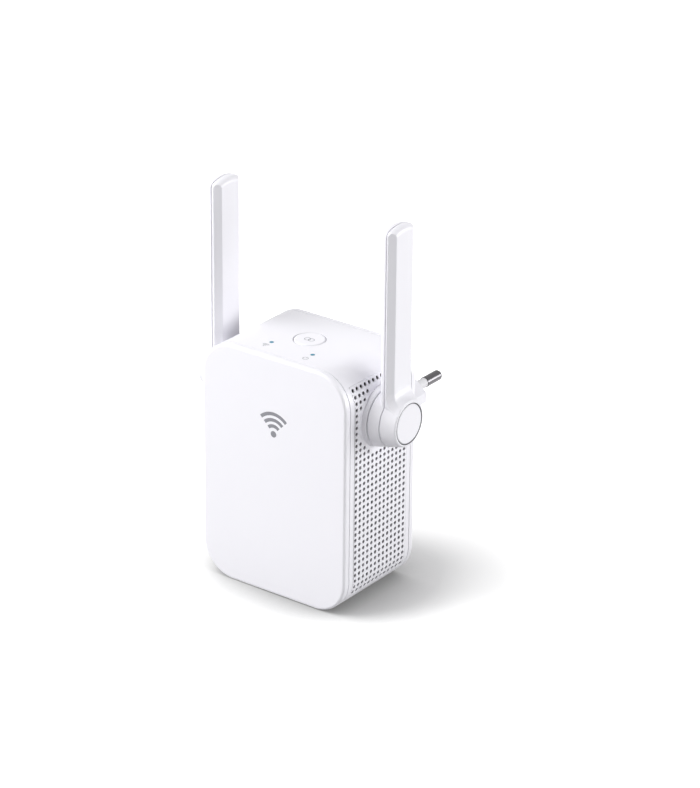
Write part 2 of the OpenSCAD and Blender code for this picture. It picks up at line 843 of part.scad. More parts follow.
// The open spring clip in the spindle's groove, which keeps the antenna on.
module spindle_clip(side) {
    mouth_angle = 70;
    on_side(side) color(steel) difference() {
        hinge_bar(clip_r, clip_x + nick, clip_x + clip_t - nick);
        hinge_bar(clip_groove_r + nick, clip_x - 1, clip_x + clip_t + 1);
        translate([clip_x - 1, hinge_y, hinge_z]) rotate([90, 0, 90]) linear_extrude(clip_t + 2)
            polygon([
                [0, 0], 2 * clip_r * [-sin(mouth_angle / 2), -cos(mouth_angle / 2)],
                2 * clip_r * [sin(mouth_angle / 2), -cos(mouth_angle / 2)]
            ]);
    }
}

// ---------- antennas ----------

// The blade's six-sided bevelled section in X and Y, about the hinge axis, drawn in by an inset.
module blade_section(inset = 0) {
    w = blade_w / 2 - inset;
    t = blade_half_t - inset;
    bw = bevel_w - inset * bevel_t / (bevel_t + bevel_w);
    bt = bevel_t - inset * bevel_w / (bevel_t + bevel_w);
    translate([seam_x, hinge_y])
        polygon([
            [t - bt, -w], [t, bw - w], [t, w - bw], [t - bt, w],
            [bt - t, w], [-t, w - bw], [-t, bw - w], [bt - t, -w]
        ]);
}

// The blade from the hinge axis to its crowned and rounded tip, drawn in by an inset.
module blade(inset = 0) {
    r = tip_r - inset;
    t = blade_half_t - inset;
    nose = bevel_t - inset / 2;
    difference() {
        intersection() {
            translate([0, 0, hinge_z]) linear_extrude(antenna_reach) blade_section(inset);
            union() {
                translate([seam_x, hinge_y, tip_z]) rotate([0, 90, 0]) rotate_extrude() {
                    translate([0, -t]) square([r - nose, 2 * t]);
                    translate([0, nose - t]) square([r, 2 * (t - nose)]);
                    for (x = [nose - t, t - nose]) translate([r - nose, x]) circle(nose);
                }
                block([blade_back_x - 1, hinge_y - blade_w, hinge_z],
                      [blade_face_x + 1, hinge_y + blade_w, tip_z]);
            }
        }
        tip_corner_cuts(inset);
    }
}

// What is cut away to round the two corners of the blade's tip.
module tip_corner_cuts(inset) {
    r = tip_r - inset;
    w = blade_w / 2 - inset;
    c = max(tip_corner_r - inset, nick);
    centre = [w - c, sqrt(pow(r - c, 2) - pow(w - c, 2))];
    along_x(blade_back_x - 1, blade_face_x + 1) translate([hinge_y, tip_z])
        for (turn = [0, 1]) mirror([turn, 0]) difference() {
            polygon([
                centre, [w + 1, centre[1]], [w + 1, r + 2], centre * (r + 2) / centre[1]
            ]);
            translate(centre) circle(c);
        }
}

// The tapered drum round the spindle.
module hub_drum() {
    rim = 0.4;
    turned([
        [0, hub_root_x], [hub_root_r - rim / 2, hub_root_x], [hub_root_r, hub_root_x + rim / 2],
        [hub_face_r, hub_face_x - rim], [hub_face_r - rim, hub_face_x], [0, hub_face_x]
    ]);
}

// The fillets between the blade's edges and the drum.
module neck_fillets() {
    w = blade_w / 2;
    f = neck_fillet_r;
    x1 = blade_face_x - bevel_t + 0.5;
    r = hub_root_r - drum_slope * (x1 - hub_root_x);
    rise = sqrt(pow(r + f, 2) - pow(w + f, 2));
    foot = [w + f, rise] * r / (r + f);
    along_x(blade_back_x + bevel_t - 0.5, x1) translate([hinge_y, hinge_z])
        for (sy = [0, 1]) mirror([sy, 0]) difference() {
            polygon([[w - 1, rise], [w + f, rise], foot, 0.9 * foot, [w - 1, 0.9 * foot[1]]]);
            translate([w + f, rise]) circle(f);
        }
}

// A hollow ramp round the hinge axis, from the blade's outer face up to the drum's rim. A lean of
// 1 or -1 tips it as the bevel on that edge of the blade is tipped.
module ramp(lean = 0) {
    deep = 4 * bevel_t + blade_w;
    r = scoop_r + abs(lean) * 0.5;
    slope = lean * bevel_t / bevel_w;
    rise = abs(slope) * (blade_w / 2 - bevel_w);
    multmatrix([
        [1, -slope, 0, rise + slope * hinge_y], [0, 1, 0, 0], [0, 0, 1, 0], [0, 0, 0, 1]
    ])
        translate([0, hinge_y, hinge_z]) rotate([0, 90, 0]) rotate_extrude() difference() {
            translate([0, blade_face_x - deep]) square([hub_face_r + r, deep + r - 0.1]);
            translate([hub_face_r + r, blade_face_x + r]) circle(r);
        }
}

// The scoop between the blade and the hub's rim, bevelled as the blade is.
module scoop() {
    intersection() {
        ramp();
        ramp(1);
        ramp(-1);
        block([seam_x, hinge_y - blade_w / 2, hinge_z],
              [min(hub_face_x, blade_face_x + scoop_r - 0.2), hinge_y + blade_w / 2,
               hinge_z + antenna_reach / 2]);
    }
}

// The whole outer form of an antenna, before it is split and hollowed.
module antenna_form() {
    hub_drum();
    blade();
    neck_fillets();
    scoop();
}

// The hollow inside an antenna: the drum's chamber and the blade's channel.
module antenna_hollow() {
    floor_x = washer_x + hub_floor_t;
    ledge_x = cap_seat_x - cap_ledge_t;
    turned([
        [0, floor_x], [hub_root_r - shell_t - drum_slope * (floor_x - hub_root_x), floor_x],
        [hub_root_r - shell_t - drum_slope * (ledge_x - hub_root_x), ledge_x], [0, ledge_x]
    ]);
    blade(shell_t);
}

// The shadow gap that runs round the antenna where its shells meet.
module seam_groove() {
    r = hub_root_r - drum_slope * (seam_x - hub_root_x) - seam_groove_d;
    difference() {
        block([seam_x - nick, hinge_y - 2 * hub_root_r, hinge_z - 2 * hub_root_r],
              [seam_x + seam_groove_w, hinge_y + 2 * hub_root_r, hinge_z + antenna_reach + 1]);
        hinge_bar(r, seam_x - 1, seam_x + 1);
        blade(seam_groove_d);
    }
}

// The inner half of an antenna, with the bore that turns on the spindle.
module antenna_inner_shell(side) {
    on_side(side) color(white_plastic) difference() {
        union() {
            difference() {
                intersection() {
                    antenna_form();
                    block([0, -body_d, 0], [seam_x, body_d, hinge_z + antenna_reach + 1]);
                }
                antenna_hollow();
            }
            hinge_bar(hub_boss_r, washer_x, hub_boss_x);
        }
        hinge_bar(spindle_r + spindle_play, side_x, hub_face_x);
        hinge_bar(washer_r + run_gap, side_x, washer_x);
    }
}

// The outer half of an antenna, with the seat for the hub cap.
module antenna_outer_shell(side) {
    on_side(side) color(white_plastic) difference() {
        intersection() {
            antenna_form();
            block([seam_x, -body_d, 0], [hub_face_x + 1, body_d, hinge_z + antenna_reach + 1]);
        }
        antenna_hollow();
        seam_groove();
        hinge_bar(cap_spigot_r + seat_gap, seam_x, hub_face_x + 1);
        hinge_bar(hub_cap_r + cap_groove, cap_seat_x, hub_face_x + 1);
    }
}

// The cap that closes the hub, held by a round spigot.
module hub_cap(side) {
    edge = 0.3;
    on_side(side) color(white_plastic)
        turned([
            [0, cap_seat_x], [cap_spigot_r - cap_spigot_t, cap_seat_x],
            [cap_spigot_r - cap_spigot_t, cap_seat_x - cap_ledge_t],
            [cap_spigot_r, cap_seat_x - cap_ledge_t], [cap_spigot_r, cap_seat_x],
            [hub_cap_r, cap_seat_x], [hub_cap_r, hub_face_x - edge],
            [hub_cap_r - edge, hub_face_x], [0, hub_face_x]
        ]);
}

// The aerial: a narrow circuit strip with a folded copper track on it.
module antenna_element(side) {
    x = blade_back_x + shell_t;
    z = hinge_z + element_foot;
    on_side(side) {
        color(board_green)
            block([x, hinge_y - element_w / 2, z],
                  [x + element_t, hinge_y + element_w / 2, z + element_len]);
        color(copper)
            for (part = [[0, 0.46], [0.52, 0.98]])
                translate([x + element_t - nick, hinge_y - element_w / 2 + 0.6,
                           z + part[0] * element_len + 0.6])
                    difference() {
                        cube([track_t, element_w - 1.2, (part[1] - part[0]) * element_len]);
                        translate([-1, track_w, track_w])
                            cube([3, element_w - 1.2 - 2 * track_w,
                                  (part[1] - part[0]) * element_len - 2 * track_w]);
                    }
    }
}

// The part of the lead that turns with the antenna, from the hinge up to the aerial's foot.
module antenna_lead(side) {
    start_x = lead_end_x + lead_gap;
    strip_x = blade_back_x + shell_t + element_t;
    route = [
        [start_x, 0, 0], [start_x + 0.6, 0, 0], [start_x + 1.2, 0, 1.2],
        [start_x + 1, 0, 2.6], [start_x + 0.5, 0, 4.2], [start_x - 0.4, 0, 5.8],
        [seam_x + 0.7, 0, 8.4], [seam_x + 0.3, 0, 11], [strip_x + lead_r + 0.1, 0, 15],
        [strip_x + lead_r + 0.1, 0, element_foot + 3]
    ];
    on_side(side) color(black_plastic)
        translate([0, hinge_y, hinge_z]) lead(curve(route, 3), lead_r);
}

// The part of the lead that stays put, from the main board into the hinge's passage.
module board_lead(side) {
    x = main_pillar_x;
    y = main_board_rear_y - hinge_y + lead_plug_h;
    route = [
        [x, y - lead_plug_d + nick, 0], [x, y + 1.6, 0], [x + 0.8, y + 3.6, 0],
        [x + 2.6, -0.7, 0], [x + 5, 0, 0], [(x + 5 + lead_end_x) / 2, 0, 0], [lead_end_x, 0, 0]
    ];
    on_side(side) color(black_plastic)
        translate([0, hinge_y, hinge_z]) lead(curve(route, 3), lead_r);
}

// The round plugs that join both leads to the main board.
module lead_plugs() {
    top_y = main_board_rear_y + lead_plug_h;
    color(gold) for (sx = [-1, 1]) difference() {
        bar_y([sx * main_pillar_x, hinge_z], lead_plug_r, main_board_rear_y, top_y);
        bar_y([sx * main_pillar_x, hinge_z], lead_r + screw_play, top_y - lead_plug_d, top_y + 1);
    }
}

// ---------- button, reset and lights ----------

// The pairing button: a round cap in the top face, its flange in the collar, and its finger.
module pair_button() {
    color(white_plastic) {
        translate([0, button_y, 0]) rotate_extrude()
            polygon([
                [0, button_flange_z], [button_flange_r, button_flange_z],
                [button_flange_r, button_flange_z + button_flange_t],
                [button_r, button_flange_z + button_flange_t],
                [button_r, button_top_z - button_edge], [button_r - button_edge, button_top_z],
                [0, button_top_z]
            ]);
        block([-button_finger_w / 2, pair_plunger_y - button_finger_t / 2, pair_plunger_z],
              [button_finger_w / 2, pair_plunger_y + button_finger_t / 2,
               button_flange_z + nick]);
    }
}

// The push switch behind the main board, with a well for its plunger.
module pair_switch() {
    color(black_plastic) difference() {
        block([-switch_w / 2, main_board_rear_y, pair_switch_z],
              [switch_w / 2, main_board_rear_y + switch_d, pair_switch_z + pair_switch_h]);
        translate([0, pair_plunger_y, pair_switch_z + pair_switch_h - plunger_root - 0.7])
            cylinder(r = pair_plunger_r + plunger_play, h = plunger_root + 1.7);
    }
}

// The switch's plunger, on which the button's finger rests.
module pair_plunger() {
    color(grey_plastic)
        translate([0, pair_plunger_y, pair_switch_z + pair_switch_h - plunger_root])
            cylinder(r = pair_plunger_r, h = plunger_root + pair_plunger_h);
}

// The small reset switch, which faces down towards its pinhole.
module reset_switch() {
    color(black_plastic) difference() {
        block([reset_x - switch_w / 2, main_board_rear_y, reset_switch_z],
              [reset_x + switch_w / 2, main_board_rear_y + 4.8,
               reset_switch_z + reset_switch_h]);
        translate([reset_x, reset_y, reset_switch_z - 1])
            cylinder(r = reset_plunger_r + plunger_play, h = plunger_root + 1.7);
    }
}

// The reset switch's plunger.
module reset_plunger() {
    color(grey_plastic) translate([reset_x, reset_y, reset_switch_z - reset_plunger_h])
        cylinder(r = reset_plunger_r, h = reset_plunger_h + plunger_root);
}

// A clear rod that carries a light-emitting chip's light to the top face.
module light_guide(side) {
    x = side * light_x;
    color(blue_light) translate([x, light_y, 0]) {
        translate([0, 0, guide_foot_z])
            cylinder(r = guide_r, h = body_h - wall - guide_foot_z);
        translate([0, 0, body_h - wall - guide_flange_t])
            cylinder(r = guide_flange_r, h = guide_flange_t);
        translate([0, 0, body_h - wall - nick]) cylinder(r = light_r, h = wall + nick);
    }
}

// The two light-emitting chips at the main board's upper edge.
module status_leds() {
    chip_w = 1.6;
    color("white") for (sx = [-1, 1])
        block([sx * light_x - chip_w / 2, main_board_y - led_t, main_board_z1 - chip_w],
              [sx * light_x + chip_w / 2, main_board_y, main_board_z1]);
}

// ---------- boards and what they carry ----------

// The main circuit board behind the front cover.
module main_board() {
    color(board_green) difference() {
        block([-main_board_w / 2, main_board_y, main_board_z0],
              [main_board_w / 2, main_board_rear_y, main_board_z1]);
        for (at = main_pillars)
            bar_y(at, board_screw_r + screw_play, main_board_y - 1, main_board_rear_y + 1);
    }
}

// The power board in front of the rear cover.
module power_board() {
    color(board_green) difference() {
        block([-power_board_w / 2, power_board_y, power_board_z0],
              [power_board_w / 2, power_board_rear_y, power_board_z1]);
        for (at = power_pillars)
            bar_y(at, board_screw_r + screw_play, power_board_y - 1, power_board_rear_y + 1);
    }
}

// The screws of both boards.
module board_screws() {
    color(steel) {
        for (at = main_pillars) {
            bar_y(at, board_screw_r, main_board_rear_y - board_screw_len, main_board_rear_y);
            bar_y(at, board_screw_head_r, main_board_rear_y,
                  main_board_rear_y + board_screw_head_t);
        }
        for (at = power_pillars) {
            bar_y(at, board_screw_r, power_board_y, power_board_y + board_screw_len - 1);
            bar_y(at, board_screw_head_r, power_board_y - board_screw_head_t, power_board_y);
        }
    }
}

// The header that joins the two boards.
module board_link() {
    x1 = power_board_w / 2 - link_inset;
    z0 = power_board_z0 + link_above;
    color(black_plastic)
        block([x1 - link_w, main_board_rear_y, z0], [x1, power_board_y, z0 + link_h]);
}

// The network socket on the main board, its mouth in the bottom face.
module network_socket() {
    color(black_plastic) difference() {
        block([jack_x - jack_w / 2, jack_y0, jack_z0],
              [jack_x + jack_w / 2, jack_y1, jack_z0 + jack_len]);
        block([jack_x - mouth_w / 2, mouth_y0, jack_z0 - 1],
              [jack_x + mouth_w / 2, mouth_y1, jack_z0 + mouth_d]);
        block([jack_x - latch_w / 2, mouth_y1 - nick, jack_z0 - 1],
              [jack_x + latch_w / 2, mouth_y1 + latch_d, jack_z0 + mouth_d]);
    }
}

// The eight springy wires that slant across the socket.
module socket_contacts() {
    foot_z = jack_z0 + 4;
    top_z = jack_z0 + mouth_d;
    lean = 1.5;
    color(gold) for (i = [0:7])
        translate([jack_x + (i - 3.5) * contact_pitch - contact_r, 0, 0])
            rotate([90, 0, 90]) linear_extrude(2 * contact_r)
                polygon([
                    [mouth_y0, foot_z], [mouth_y0 + 2 * contact_r, foot_z - 0.3],
                    [mouth_y0 + lean + 2 * contact_r, top_z], [mouth_y0 + lean, top_z]
                ]);
}

// The isolating transformer of the network line.
module line_transformer() {
    w = line_transformer_w / 2;
    z0 = main_board_z0 + line_transformer_above;
    color(black_plastic)
        block([jack_x - w, main_board_y - line_transformer_d, z0],
              [jack_x + w, main_board_y, z0 + line_transformer_h]);
}

// The two wireless chips behind the heat spreader, one at each of its ends.
module wifi_chips() {
    z1 = main_board_z1 - spreader_below - chip_margin;
    z0 = z1 + 2 * chip_margin - spreader_h;
    y = main_board_y - chip_t;
    color(black_plastic) translate([-spreader_left, 0, 0]) {
        block([-big_chip_w / 2, y, z0], [big_chip_w / 2, main_board_y, z0 + big_chip_w]);
        block([-small_chip_w / 2, y, z1 - small_chip_w], [small_chip_w / 2, main_board_y, z1]);
    }
}

// The ribbed metal plate that cools the chips.
module heat_spreader() {
    x0 = -spreader_left - spreader_w / 2;
    z1 = main_board_z1 - spreader_below;
    z0 = z1 - spreader_h;
    y1 = main_board_y - chip_t;
    y0 = y1 - spreader_t;
    color(steel) {
        block([x0, y0, z0], [x0 + spreader_w, y1, z1]);
        for (x = [x0 : rib_pitch : x0 + spreader_w - rib_t])
            block([x, y0 - rib_h, z0], [x + rib_t, y0 + nick, z1]);
    }
}

// The tinned can over the radio stage.
module shield_can() {
    w = main_board_w / 2 - shield_inset;
    z1 = main_board_z1 - shield_below;
    low = [-w, main_board_y - shield_d, z1 - shield_h];
    high = [w, main_board_y, z1];
    color(steel) difference() {
        block(low, high);
        block(low + [shield_t, shield_t, shield_t], high + [-shield_t, 1, -shield_t]);
    }
}

// The mains transformer: a ferrite core round a taped winding.
module transformer() {
    w = transformer_w / 2;
    h = transformer_h / 2;
    y = power_board_y - transformer_d;
    translate([0, 0, power_board_z1 - transformer_below]) {
        color([0.25, 0.25, 0.27]) for (x = [-w, w - transformer_leg])
            block([x, y, -h], [x + transformer_leg, power_board_y - 1, h]);
        color([0.9, 0.8, 0.25])
            block([transformer_leg - w - nick, y + 1, -h - 1],
                  [w - transformer_leg + nick, power_board_y, h + 1]);
    }
}

// An upright can capacitor that stands on the power board, with a groove round its foot.
module can_capacitor(at, r, h) {
    g = can_groove;
    translate([at[0], power_board_y, at[1]]) rotate([90, 0, 0]) rotate_extrude()
        polygon([
            [0, 0], [r - g, 0], [r, g], [r, 3 * g], [r - g, 4 * g], [r - g, 5 * g], [r, 6 * g],
            [r, h - g], [r - g, h], [0, h]
        ]);
}

// The two high-voltage capacitors.
module bulk_capacitors() {
    x = bulk_can_inset - power_board_w / 2;
    color(black_plastic) for (below = [0, bulk_can_pitch])
        can_capacitor([x, power_board_z1 - bulk_can_below - below], bulk_can_r, bulk_can_h);
}

// The low-voltage capacitors.
module output_capacitors() {
    x = power_board_w / 2 - output_can_inset;
    color([0.15, 0.2, 0.45]) for (below = [0, output_can_pitch])
        can_capacitor([x, power_board_z1 - output_can_below - below], output_can_r, output_can_h);
}

// The mains choke: a wound bobbin.
module choke() {
    r = choke_r - choke_groove;
    color(copper) translate([choke_right, power_board_y, power_board_z1 - choke_below])
        rotate([90, 0, 0]) rotate_extrude()
            polygon([
                [0, 0], [choke_r, 0], [choke_r, choke_flange_t], [r, choke_flange_t],
                [r, choke_h - choke_flange_t], [choke_r, choke_h - choke_flange_t],
                [choke_r, choke_h], [0, choke_h]
            ]);
}

// The rectifier bridge.
module bridge_rectifier() {
    z1 = power_board_z1 - rectifier_below;
    color(black_plastic)
        block([-rectifier_w / 2, power_board_y - rectifier_d, z1 - rectifier_h],
              [rectifier_w / 2, power_board_y, z1]);
}

// The fuse, which lies across the board next to the pin contacts.
module fuse() {
    waist_r = fuse_r - fuse_waist;
    waist_z = fuse_cap_len + fuse_waist;
    color([0.55, 0.75, 0.5])
        translate([power_board_w / 2 - fuse_inset, power_board_y - fuse_r,
                   power_board_z1 - fuse_below])
            rotate([0, 90, 0]) rotate_extrude()
                polygon([
                    [0, 0], [fuse_r, 0], [fuse_r, fuse_cap_len], [waist_r, waist_z],
                    [waist_r, fuse_len - waist_z], [fuse_r, fuse_len - fuse_cap_len],
                    [fuse_r, fuse_len], [0, fuse_len]
                ]);
}

// The flat safety capacitor between the mains side and the low-voltage side.
module safety_capacitor() {
    x = power_board_w / 2 - safety_inset;
    color([0.2, 0.45, 0.75]) translate([0, power_board_y - safety_r, power_board_z1 - safety_below])
        along_x(x - safety_t / 2, x + safety_t / 2) circle(safety_r);
}

// The insulating sheet between the mains parts and the main board.
module insulating_sheet() {
    y = power_board_y - transformer_d;
    z1 = power_board_z1 - sheet_below;
    color(fish_paper)
        block([-power_board_w / 2, y - sheet_t, z1 - sheet_h], [power_board_w / 2, y, z1]);
}

front_cover();
main_housing();
rear_cover();
side_grille(-1);  // side_grille_left
side_grille(1);  // side_grille_right
plug_insert();
plug_pin(-1);  // plug_pin_left
plug_pin(1);  // plug_pin_right
pin_sleeve(-1);  // pin_sleeve_left
pin_sleeve(1);  // pin_sleeve_right
pin_contacts();
hinge_base(-1);  // hinge_base_left
hinge_base(1);  // hinge_base_right
stem_nut(-1);  // stem_nut_left
stem_nut(1);  // stem_nut_right
friction_washer(-1);  // friction_washer_left
friction_washer(1);  // friction_washer_right
spindle_clip(-1);  // spindle_clip_left
spindle_clip(1);  // spindle_clip_right
antenna_inner_shell(-1);  // antenna_inner_shell_left
antenna_inner_shell(1);  // antenna_inner_shell_right
antenna_outer_shell(-1);  // antenna_outer_shell_left
antenna_outer_shell(1);  // antenna_outer_shell_right
hub_cap(-1);  // hub_cap_left
hub_cap(1);  // hub_cap_right
antenna_element(-1);  // antenna_element_left
antenna_element(1);  // antenna_element_right
antenna_lead(-1);  // antenna_lead_left
antenna_lead(1);  // antenna_lead_right
board_lead(-1);  // board_lead_left
board_lead(1);  // board_lead_right
lead_plugs();
pair_button();
pair_switch();
pair_plunger();
reset_switch();
reset_plunger();
light_guide(-1);  // light_guide_signal
light_guide(1);  // light_guide_power
status_leds();
main_board();
power_board();
board_link();
network_socket();
socket_contacts();
line_transformer();
wifi_chips();
heat_spreader();
shield_can();
transformer();
bulk_capacitors();
output_capacitors();
choke();
bridge_rectifier();
fuse();
safety_capacitor();
insulating_sheet();
board_screws();
case_screws();
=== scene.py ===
# %% [markdown]
# # A plug-in wifi range extender
#
# The real thing is a white upright box of plastic, about as high as a hand is wide, with
# perforated sides, two antennas that fold on round hinges, and a mains plug at the back.
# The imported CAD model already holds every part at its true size. This lesson dresses it:
# it sets the camera of the photograph, rebuilds the perforated side panels with Geometry
# Nodes, gives each part a procedural finish, and lights it like a catalogue picture.

import json
import math

import bmesh
import bpy
from mathutils import Matrix, Vector
from mathutils.bvhtree import BVHTree


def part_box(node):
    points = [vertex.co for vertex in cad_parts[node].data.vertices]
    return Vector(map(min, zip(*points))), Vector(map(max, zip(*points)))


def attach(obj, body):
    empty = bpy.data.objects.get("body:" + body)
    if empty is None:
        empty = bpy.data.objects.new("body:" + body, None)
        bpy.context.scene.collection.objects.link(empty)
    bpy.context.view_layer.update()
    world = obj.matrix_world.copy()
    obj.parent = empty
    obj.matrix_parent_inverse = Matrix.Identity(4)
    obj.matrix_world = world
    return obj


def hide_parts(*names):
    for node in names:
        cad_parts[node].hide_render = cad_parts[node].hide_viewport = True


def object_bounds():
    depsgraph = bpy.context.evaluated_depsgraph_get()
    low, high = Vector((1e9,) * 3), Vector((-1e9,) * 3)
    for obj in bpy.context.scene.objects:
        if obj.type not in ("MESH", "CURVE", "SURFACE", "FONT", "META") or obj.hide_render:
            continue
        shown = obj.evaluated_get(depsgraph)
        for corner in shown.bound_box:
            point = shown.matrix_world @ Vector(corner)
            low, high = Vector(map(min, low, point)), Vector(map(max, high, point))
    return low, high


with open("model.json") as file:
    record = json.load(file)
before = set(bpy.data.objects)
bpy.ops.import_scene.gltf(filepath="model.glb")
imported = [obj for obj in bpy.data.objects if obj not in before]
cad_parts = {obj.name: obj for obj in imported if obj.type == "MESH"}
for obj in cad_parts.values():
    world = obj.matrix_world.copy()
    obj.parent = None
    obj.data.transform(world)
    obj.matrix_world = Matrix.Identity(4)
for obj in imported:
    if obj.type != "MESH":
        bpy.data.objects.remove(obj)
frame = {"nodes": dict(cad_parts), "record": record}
cad_low, cad_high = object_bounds()
MM = 0.001
SIDES = (("left", -1.0), ("right", 1.0))
print("CAD box in mm:", [round(v / MM, 1) for v in (*cad_low, *cad_high)])


def linked(name, data):
    """A new object in the scene."""
    thing = bpy.data.objects.new(name, data)
    bpy.context.scene.collection.objects.link(thing)
    return thing



# %% [markdown]
# ## Points read off the photograph
#
# A handful of places are read off the photograph first. Those of the outline and of the
# lights, the button and the hinge caps settle the camera; the others tell where a small
# thing belongs. `None` stands for a direction that was not read, as for a straight edge.

# %% Image points, in pixels of the 700 x 788 frame
PHOTO_W, PHOTO_H = 700, 788
POINTS = {
    "object_left": (199.0, None),
    "object_right": (443.5, None),
    "object_top": (None, 174.5),
    "object_bottom": (None, 608.8),
    "signal_light": (271.5, 342.0),
    "power_light": (312.3, 354.8),
    "pair_button": (309.5, 339.4),
    "right_hub_cap": (409.4, 424.5),
    "right_blade_top": (None, 222.3),
    "right_blade_left": (381.5, None),
    "front_cover_left": (204.5, None),
    "plug_boss_right": (427.0, None),
}

# %% [markdown]
# ## The camera
#
# The product was photographed from its right front, a little from above, with a long lens:
# the box's edges hardly converge. The camera is an aim point, two angles, a roll and a
# distance, fitted to the points above. Its shift stays at zero, so that every other view
# of the object keeps its middle in the frame.

# %% Camera
AIM = Vector((17.863, 0.0, 75.933)) * MM
AZIMUTH, ELEVATION, ROLL = (math.radians(v) for v in (36.395, 24.340, 0.592))
DISTANCE = 1171.1 * MM
LENS, SENSOR = 153.07, 36.0

back = Vector((
    math.sin(AZIMUTH) * math.cos(ELEVATION),
    -math.cos(AZIMUTH) * math.cos(ELEVATION),
    math.sin(ELEVATION),
))
level = Vector((math.cos(AZIMUTH), math.sin(AZIMUTH), 0.0))
upward = back.cross(level)
right = math.cos(ROLL) * level + math.sin(ROLL) * upward
top = back.cross(right)

camera_data = bpy.data.cameras.new("photo_camera")
camera_data.lens = LENS
camera_data.sensor_width = SENSOR
camera_data.sensor_fit = "AUTO"
camera_data.clip_start, camera_data.clip_end = 0.05, 20.0
camera = linked("photo_camera", camera_data)
camera.matrix_world = Matrix((
    (right.x, top.x, back.x, AIM.x + DISTANCE * back.x),
    (right.y, top.y, back.y, AIM.y + DISTANCE * back.y),
    (right.z, top.z, back.z, AIM.z + DISTANCE * back.z),
    (0.0, 0.0, 0.0, 1.0),
))
bpy.context.scene.camera = camera
bpy.context.view_layer.update()
print("camera at (mm):", [round(v / MM, 1) for v in camera.matrix_world.translation])

# %% [markdown]
# ## One way to write node trees
#
# Shaders and Geometry Nodes are both trees of small boxes. Written out link by link they
# are hard to read, so a `Wire` wraps a socket and lets it be added, multiplied and so on
# like a number; each sign adds the Math node it stands for. Every other node comes from
# `Tree.add`, which takes the node's type, its settings and what goes into its sockets.

# %% Wires and trees
class Wire:
    """An output socket that can be used in sums."""

    def __init__(self, tree, socket):
        self.tree, self.socket = tree, socket

    def __add__(self, other):
        return self.tree.maths("ADD", self, other)

    def __radd__(self, other):
        return self.tree.maths("ADD", other, self)

    def __sub__(self, other):
        return self.tree.maths("SUBTRACT", self, other)

    def __rsub__(self, other):
        return self.tree.maths("SUBTRACT", other, self)

    def __mul__(self, other):
        return self.tree.maths("MULTIPLY", self, other)

    def __rmul__(self, other):
        return self.tree.maths("MULTIPLY", other, self)

    def __truediv__(self, other):
        return self.tree.maths("DIVIDE", self, other)

    def __gt__(self, other):
        return self.tree.maths("GREATER_THAN", self, other)

    def __lt__(self, other):
        return self.tree.maths("LESS_THAN", self, other)

    def __pow__(self, other):
        return self.tree.maths("POWER", self, other)

    def most(self, other):
        return self.tree.maths("MAXIMUM", self, other)

    def least(self, other):
        return self.tree.maths("MINIMUM", self, other)

    def root(self):
        return self.tree.maths("SQRT", self)

    def other(self, output):
        """Another output of the same node, by name or number."""
        return Wire(self.tree, self.socket.node.outputs[output])


class Tree:
    """A shader or geometry tree with one method that adds any node."""

    def __init__(self, nodes_and_links):
        self.nodes, self.links = nodes_and_links.nodes, nodes_and_links.links

    def add(self, kind, settings=None, inputs=None, output=0):
        node = self.nodes.new(kind)
        for name, value in (settings or {}).items():
            setattr(node, name, value)
        for name, value in (inputs or {}).items():
            for item in value if isinstance(value, list) else [value]:
                if isinstance(item, Wire):
                    self.links.new(item.socket, node.inputs[name])
                else:
                    node.inputs[name].default_value = item
        return Wire(self, node.outputs[output]) if node.outputs else None

    def maths(self, operation, *values):
        return self.add("ShaderNodeMath", {"operation": operation}, dict(enumerate(values)))


# %% [markdown]
# ## Finishes
#
# Nearly all that shows is one plastic: a bluish white with a satin gloss. On the real
# moulding the gloss is never quite even, and every edge is a little round and catches
# light. A slow noise in the roughness does the first, and the Bevel node the second: it
# bends the surface's normal near an edge, as far as its radius says.

# %% The white plastic
DRIFT_SCALE, GRAIN_HEIGHT, BEVEL_SAMPLES = 45.0, 0.003 * MM, 6


def finish(name):
    """A new material without nodes, and its tree."""
    material = bpy.data.materials.new(name)
    material.use_nodes = True
    material.node_tree.nodes.clear()
    return material, Tree(material.node_tree)


def surfaced(name, colour, roughness, metallic=0.0, grain=1800.0, relief=0.3, drift=0.1,
             streak=(1.0, 1.0, 1.0), edge_radius=0.0, **fixed):
    """A finish whose gloss drifts and whose relief is a fine grain.

    The streak stretches the grain, as for brushed metal, and fixed values go to the
    shader's sockets of the same names, written with _ for a space.
    """
    material, tree = finish(name)
    place = tree.add("ShaderNodeTexCoord", output="Object")
    drawn = tree.add("ShaderNodeMapping", {}, {"Vector": place, "Scale": streak})
    slow = tree.add("ShaderNodeTexNoise", {}, {
        "Vector": drawn, "Scale": DRIFT_SCALE, "Detail": 3.0,
    })
    fine = tree.add("ShaderNodeTexNoise", {}, {"Vector": drawn, "Scale": grain, "Detail": 2.0})
    bump = {"Height": fine, "Strength": relief, "Distance": GRAIN_HEIGHT}
    if edge_radius:
        bump["Normal"] = tree.add("ShaderNodeBevel", {"samples": BEVEL_SAMPLES}, {
            "Radius": edge_radius,
        })
    sockets = {
        "Base Color": (*colour, 1.0), "Metallic": metallic,
        "Roughness": roughness + drift * (slow - 0.5),
        "Normal": tree.add("ShaderNodeBump", {}, bump),
    }
    sockets.update({key.replace("_", " "): value for key, value in fixed.items()})
    shader = tree.add("ShaderNodeBsdfPrincipled", {}, sockets)
    tree.add("ShaderNodeOutputMaterial", {}, {"Surface": shader})
    return material


WHITE = (0.885, 0.878, 0.925)
EDGE_RADIUS = 0.35 * MM
white_plastic = surfaced("white_plastic", WHITE, 0.32, edge_radius=EDGE_RADIUS)
white_panel = surfaced("white_panel", WHITE, 0.36)
print("white plastic:", WHITE)

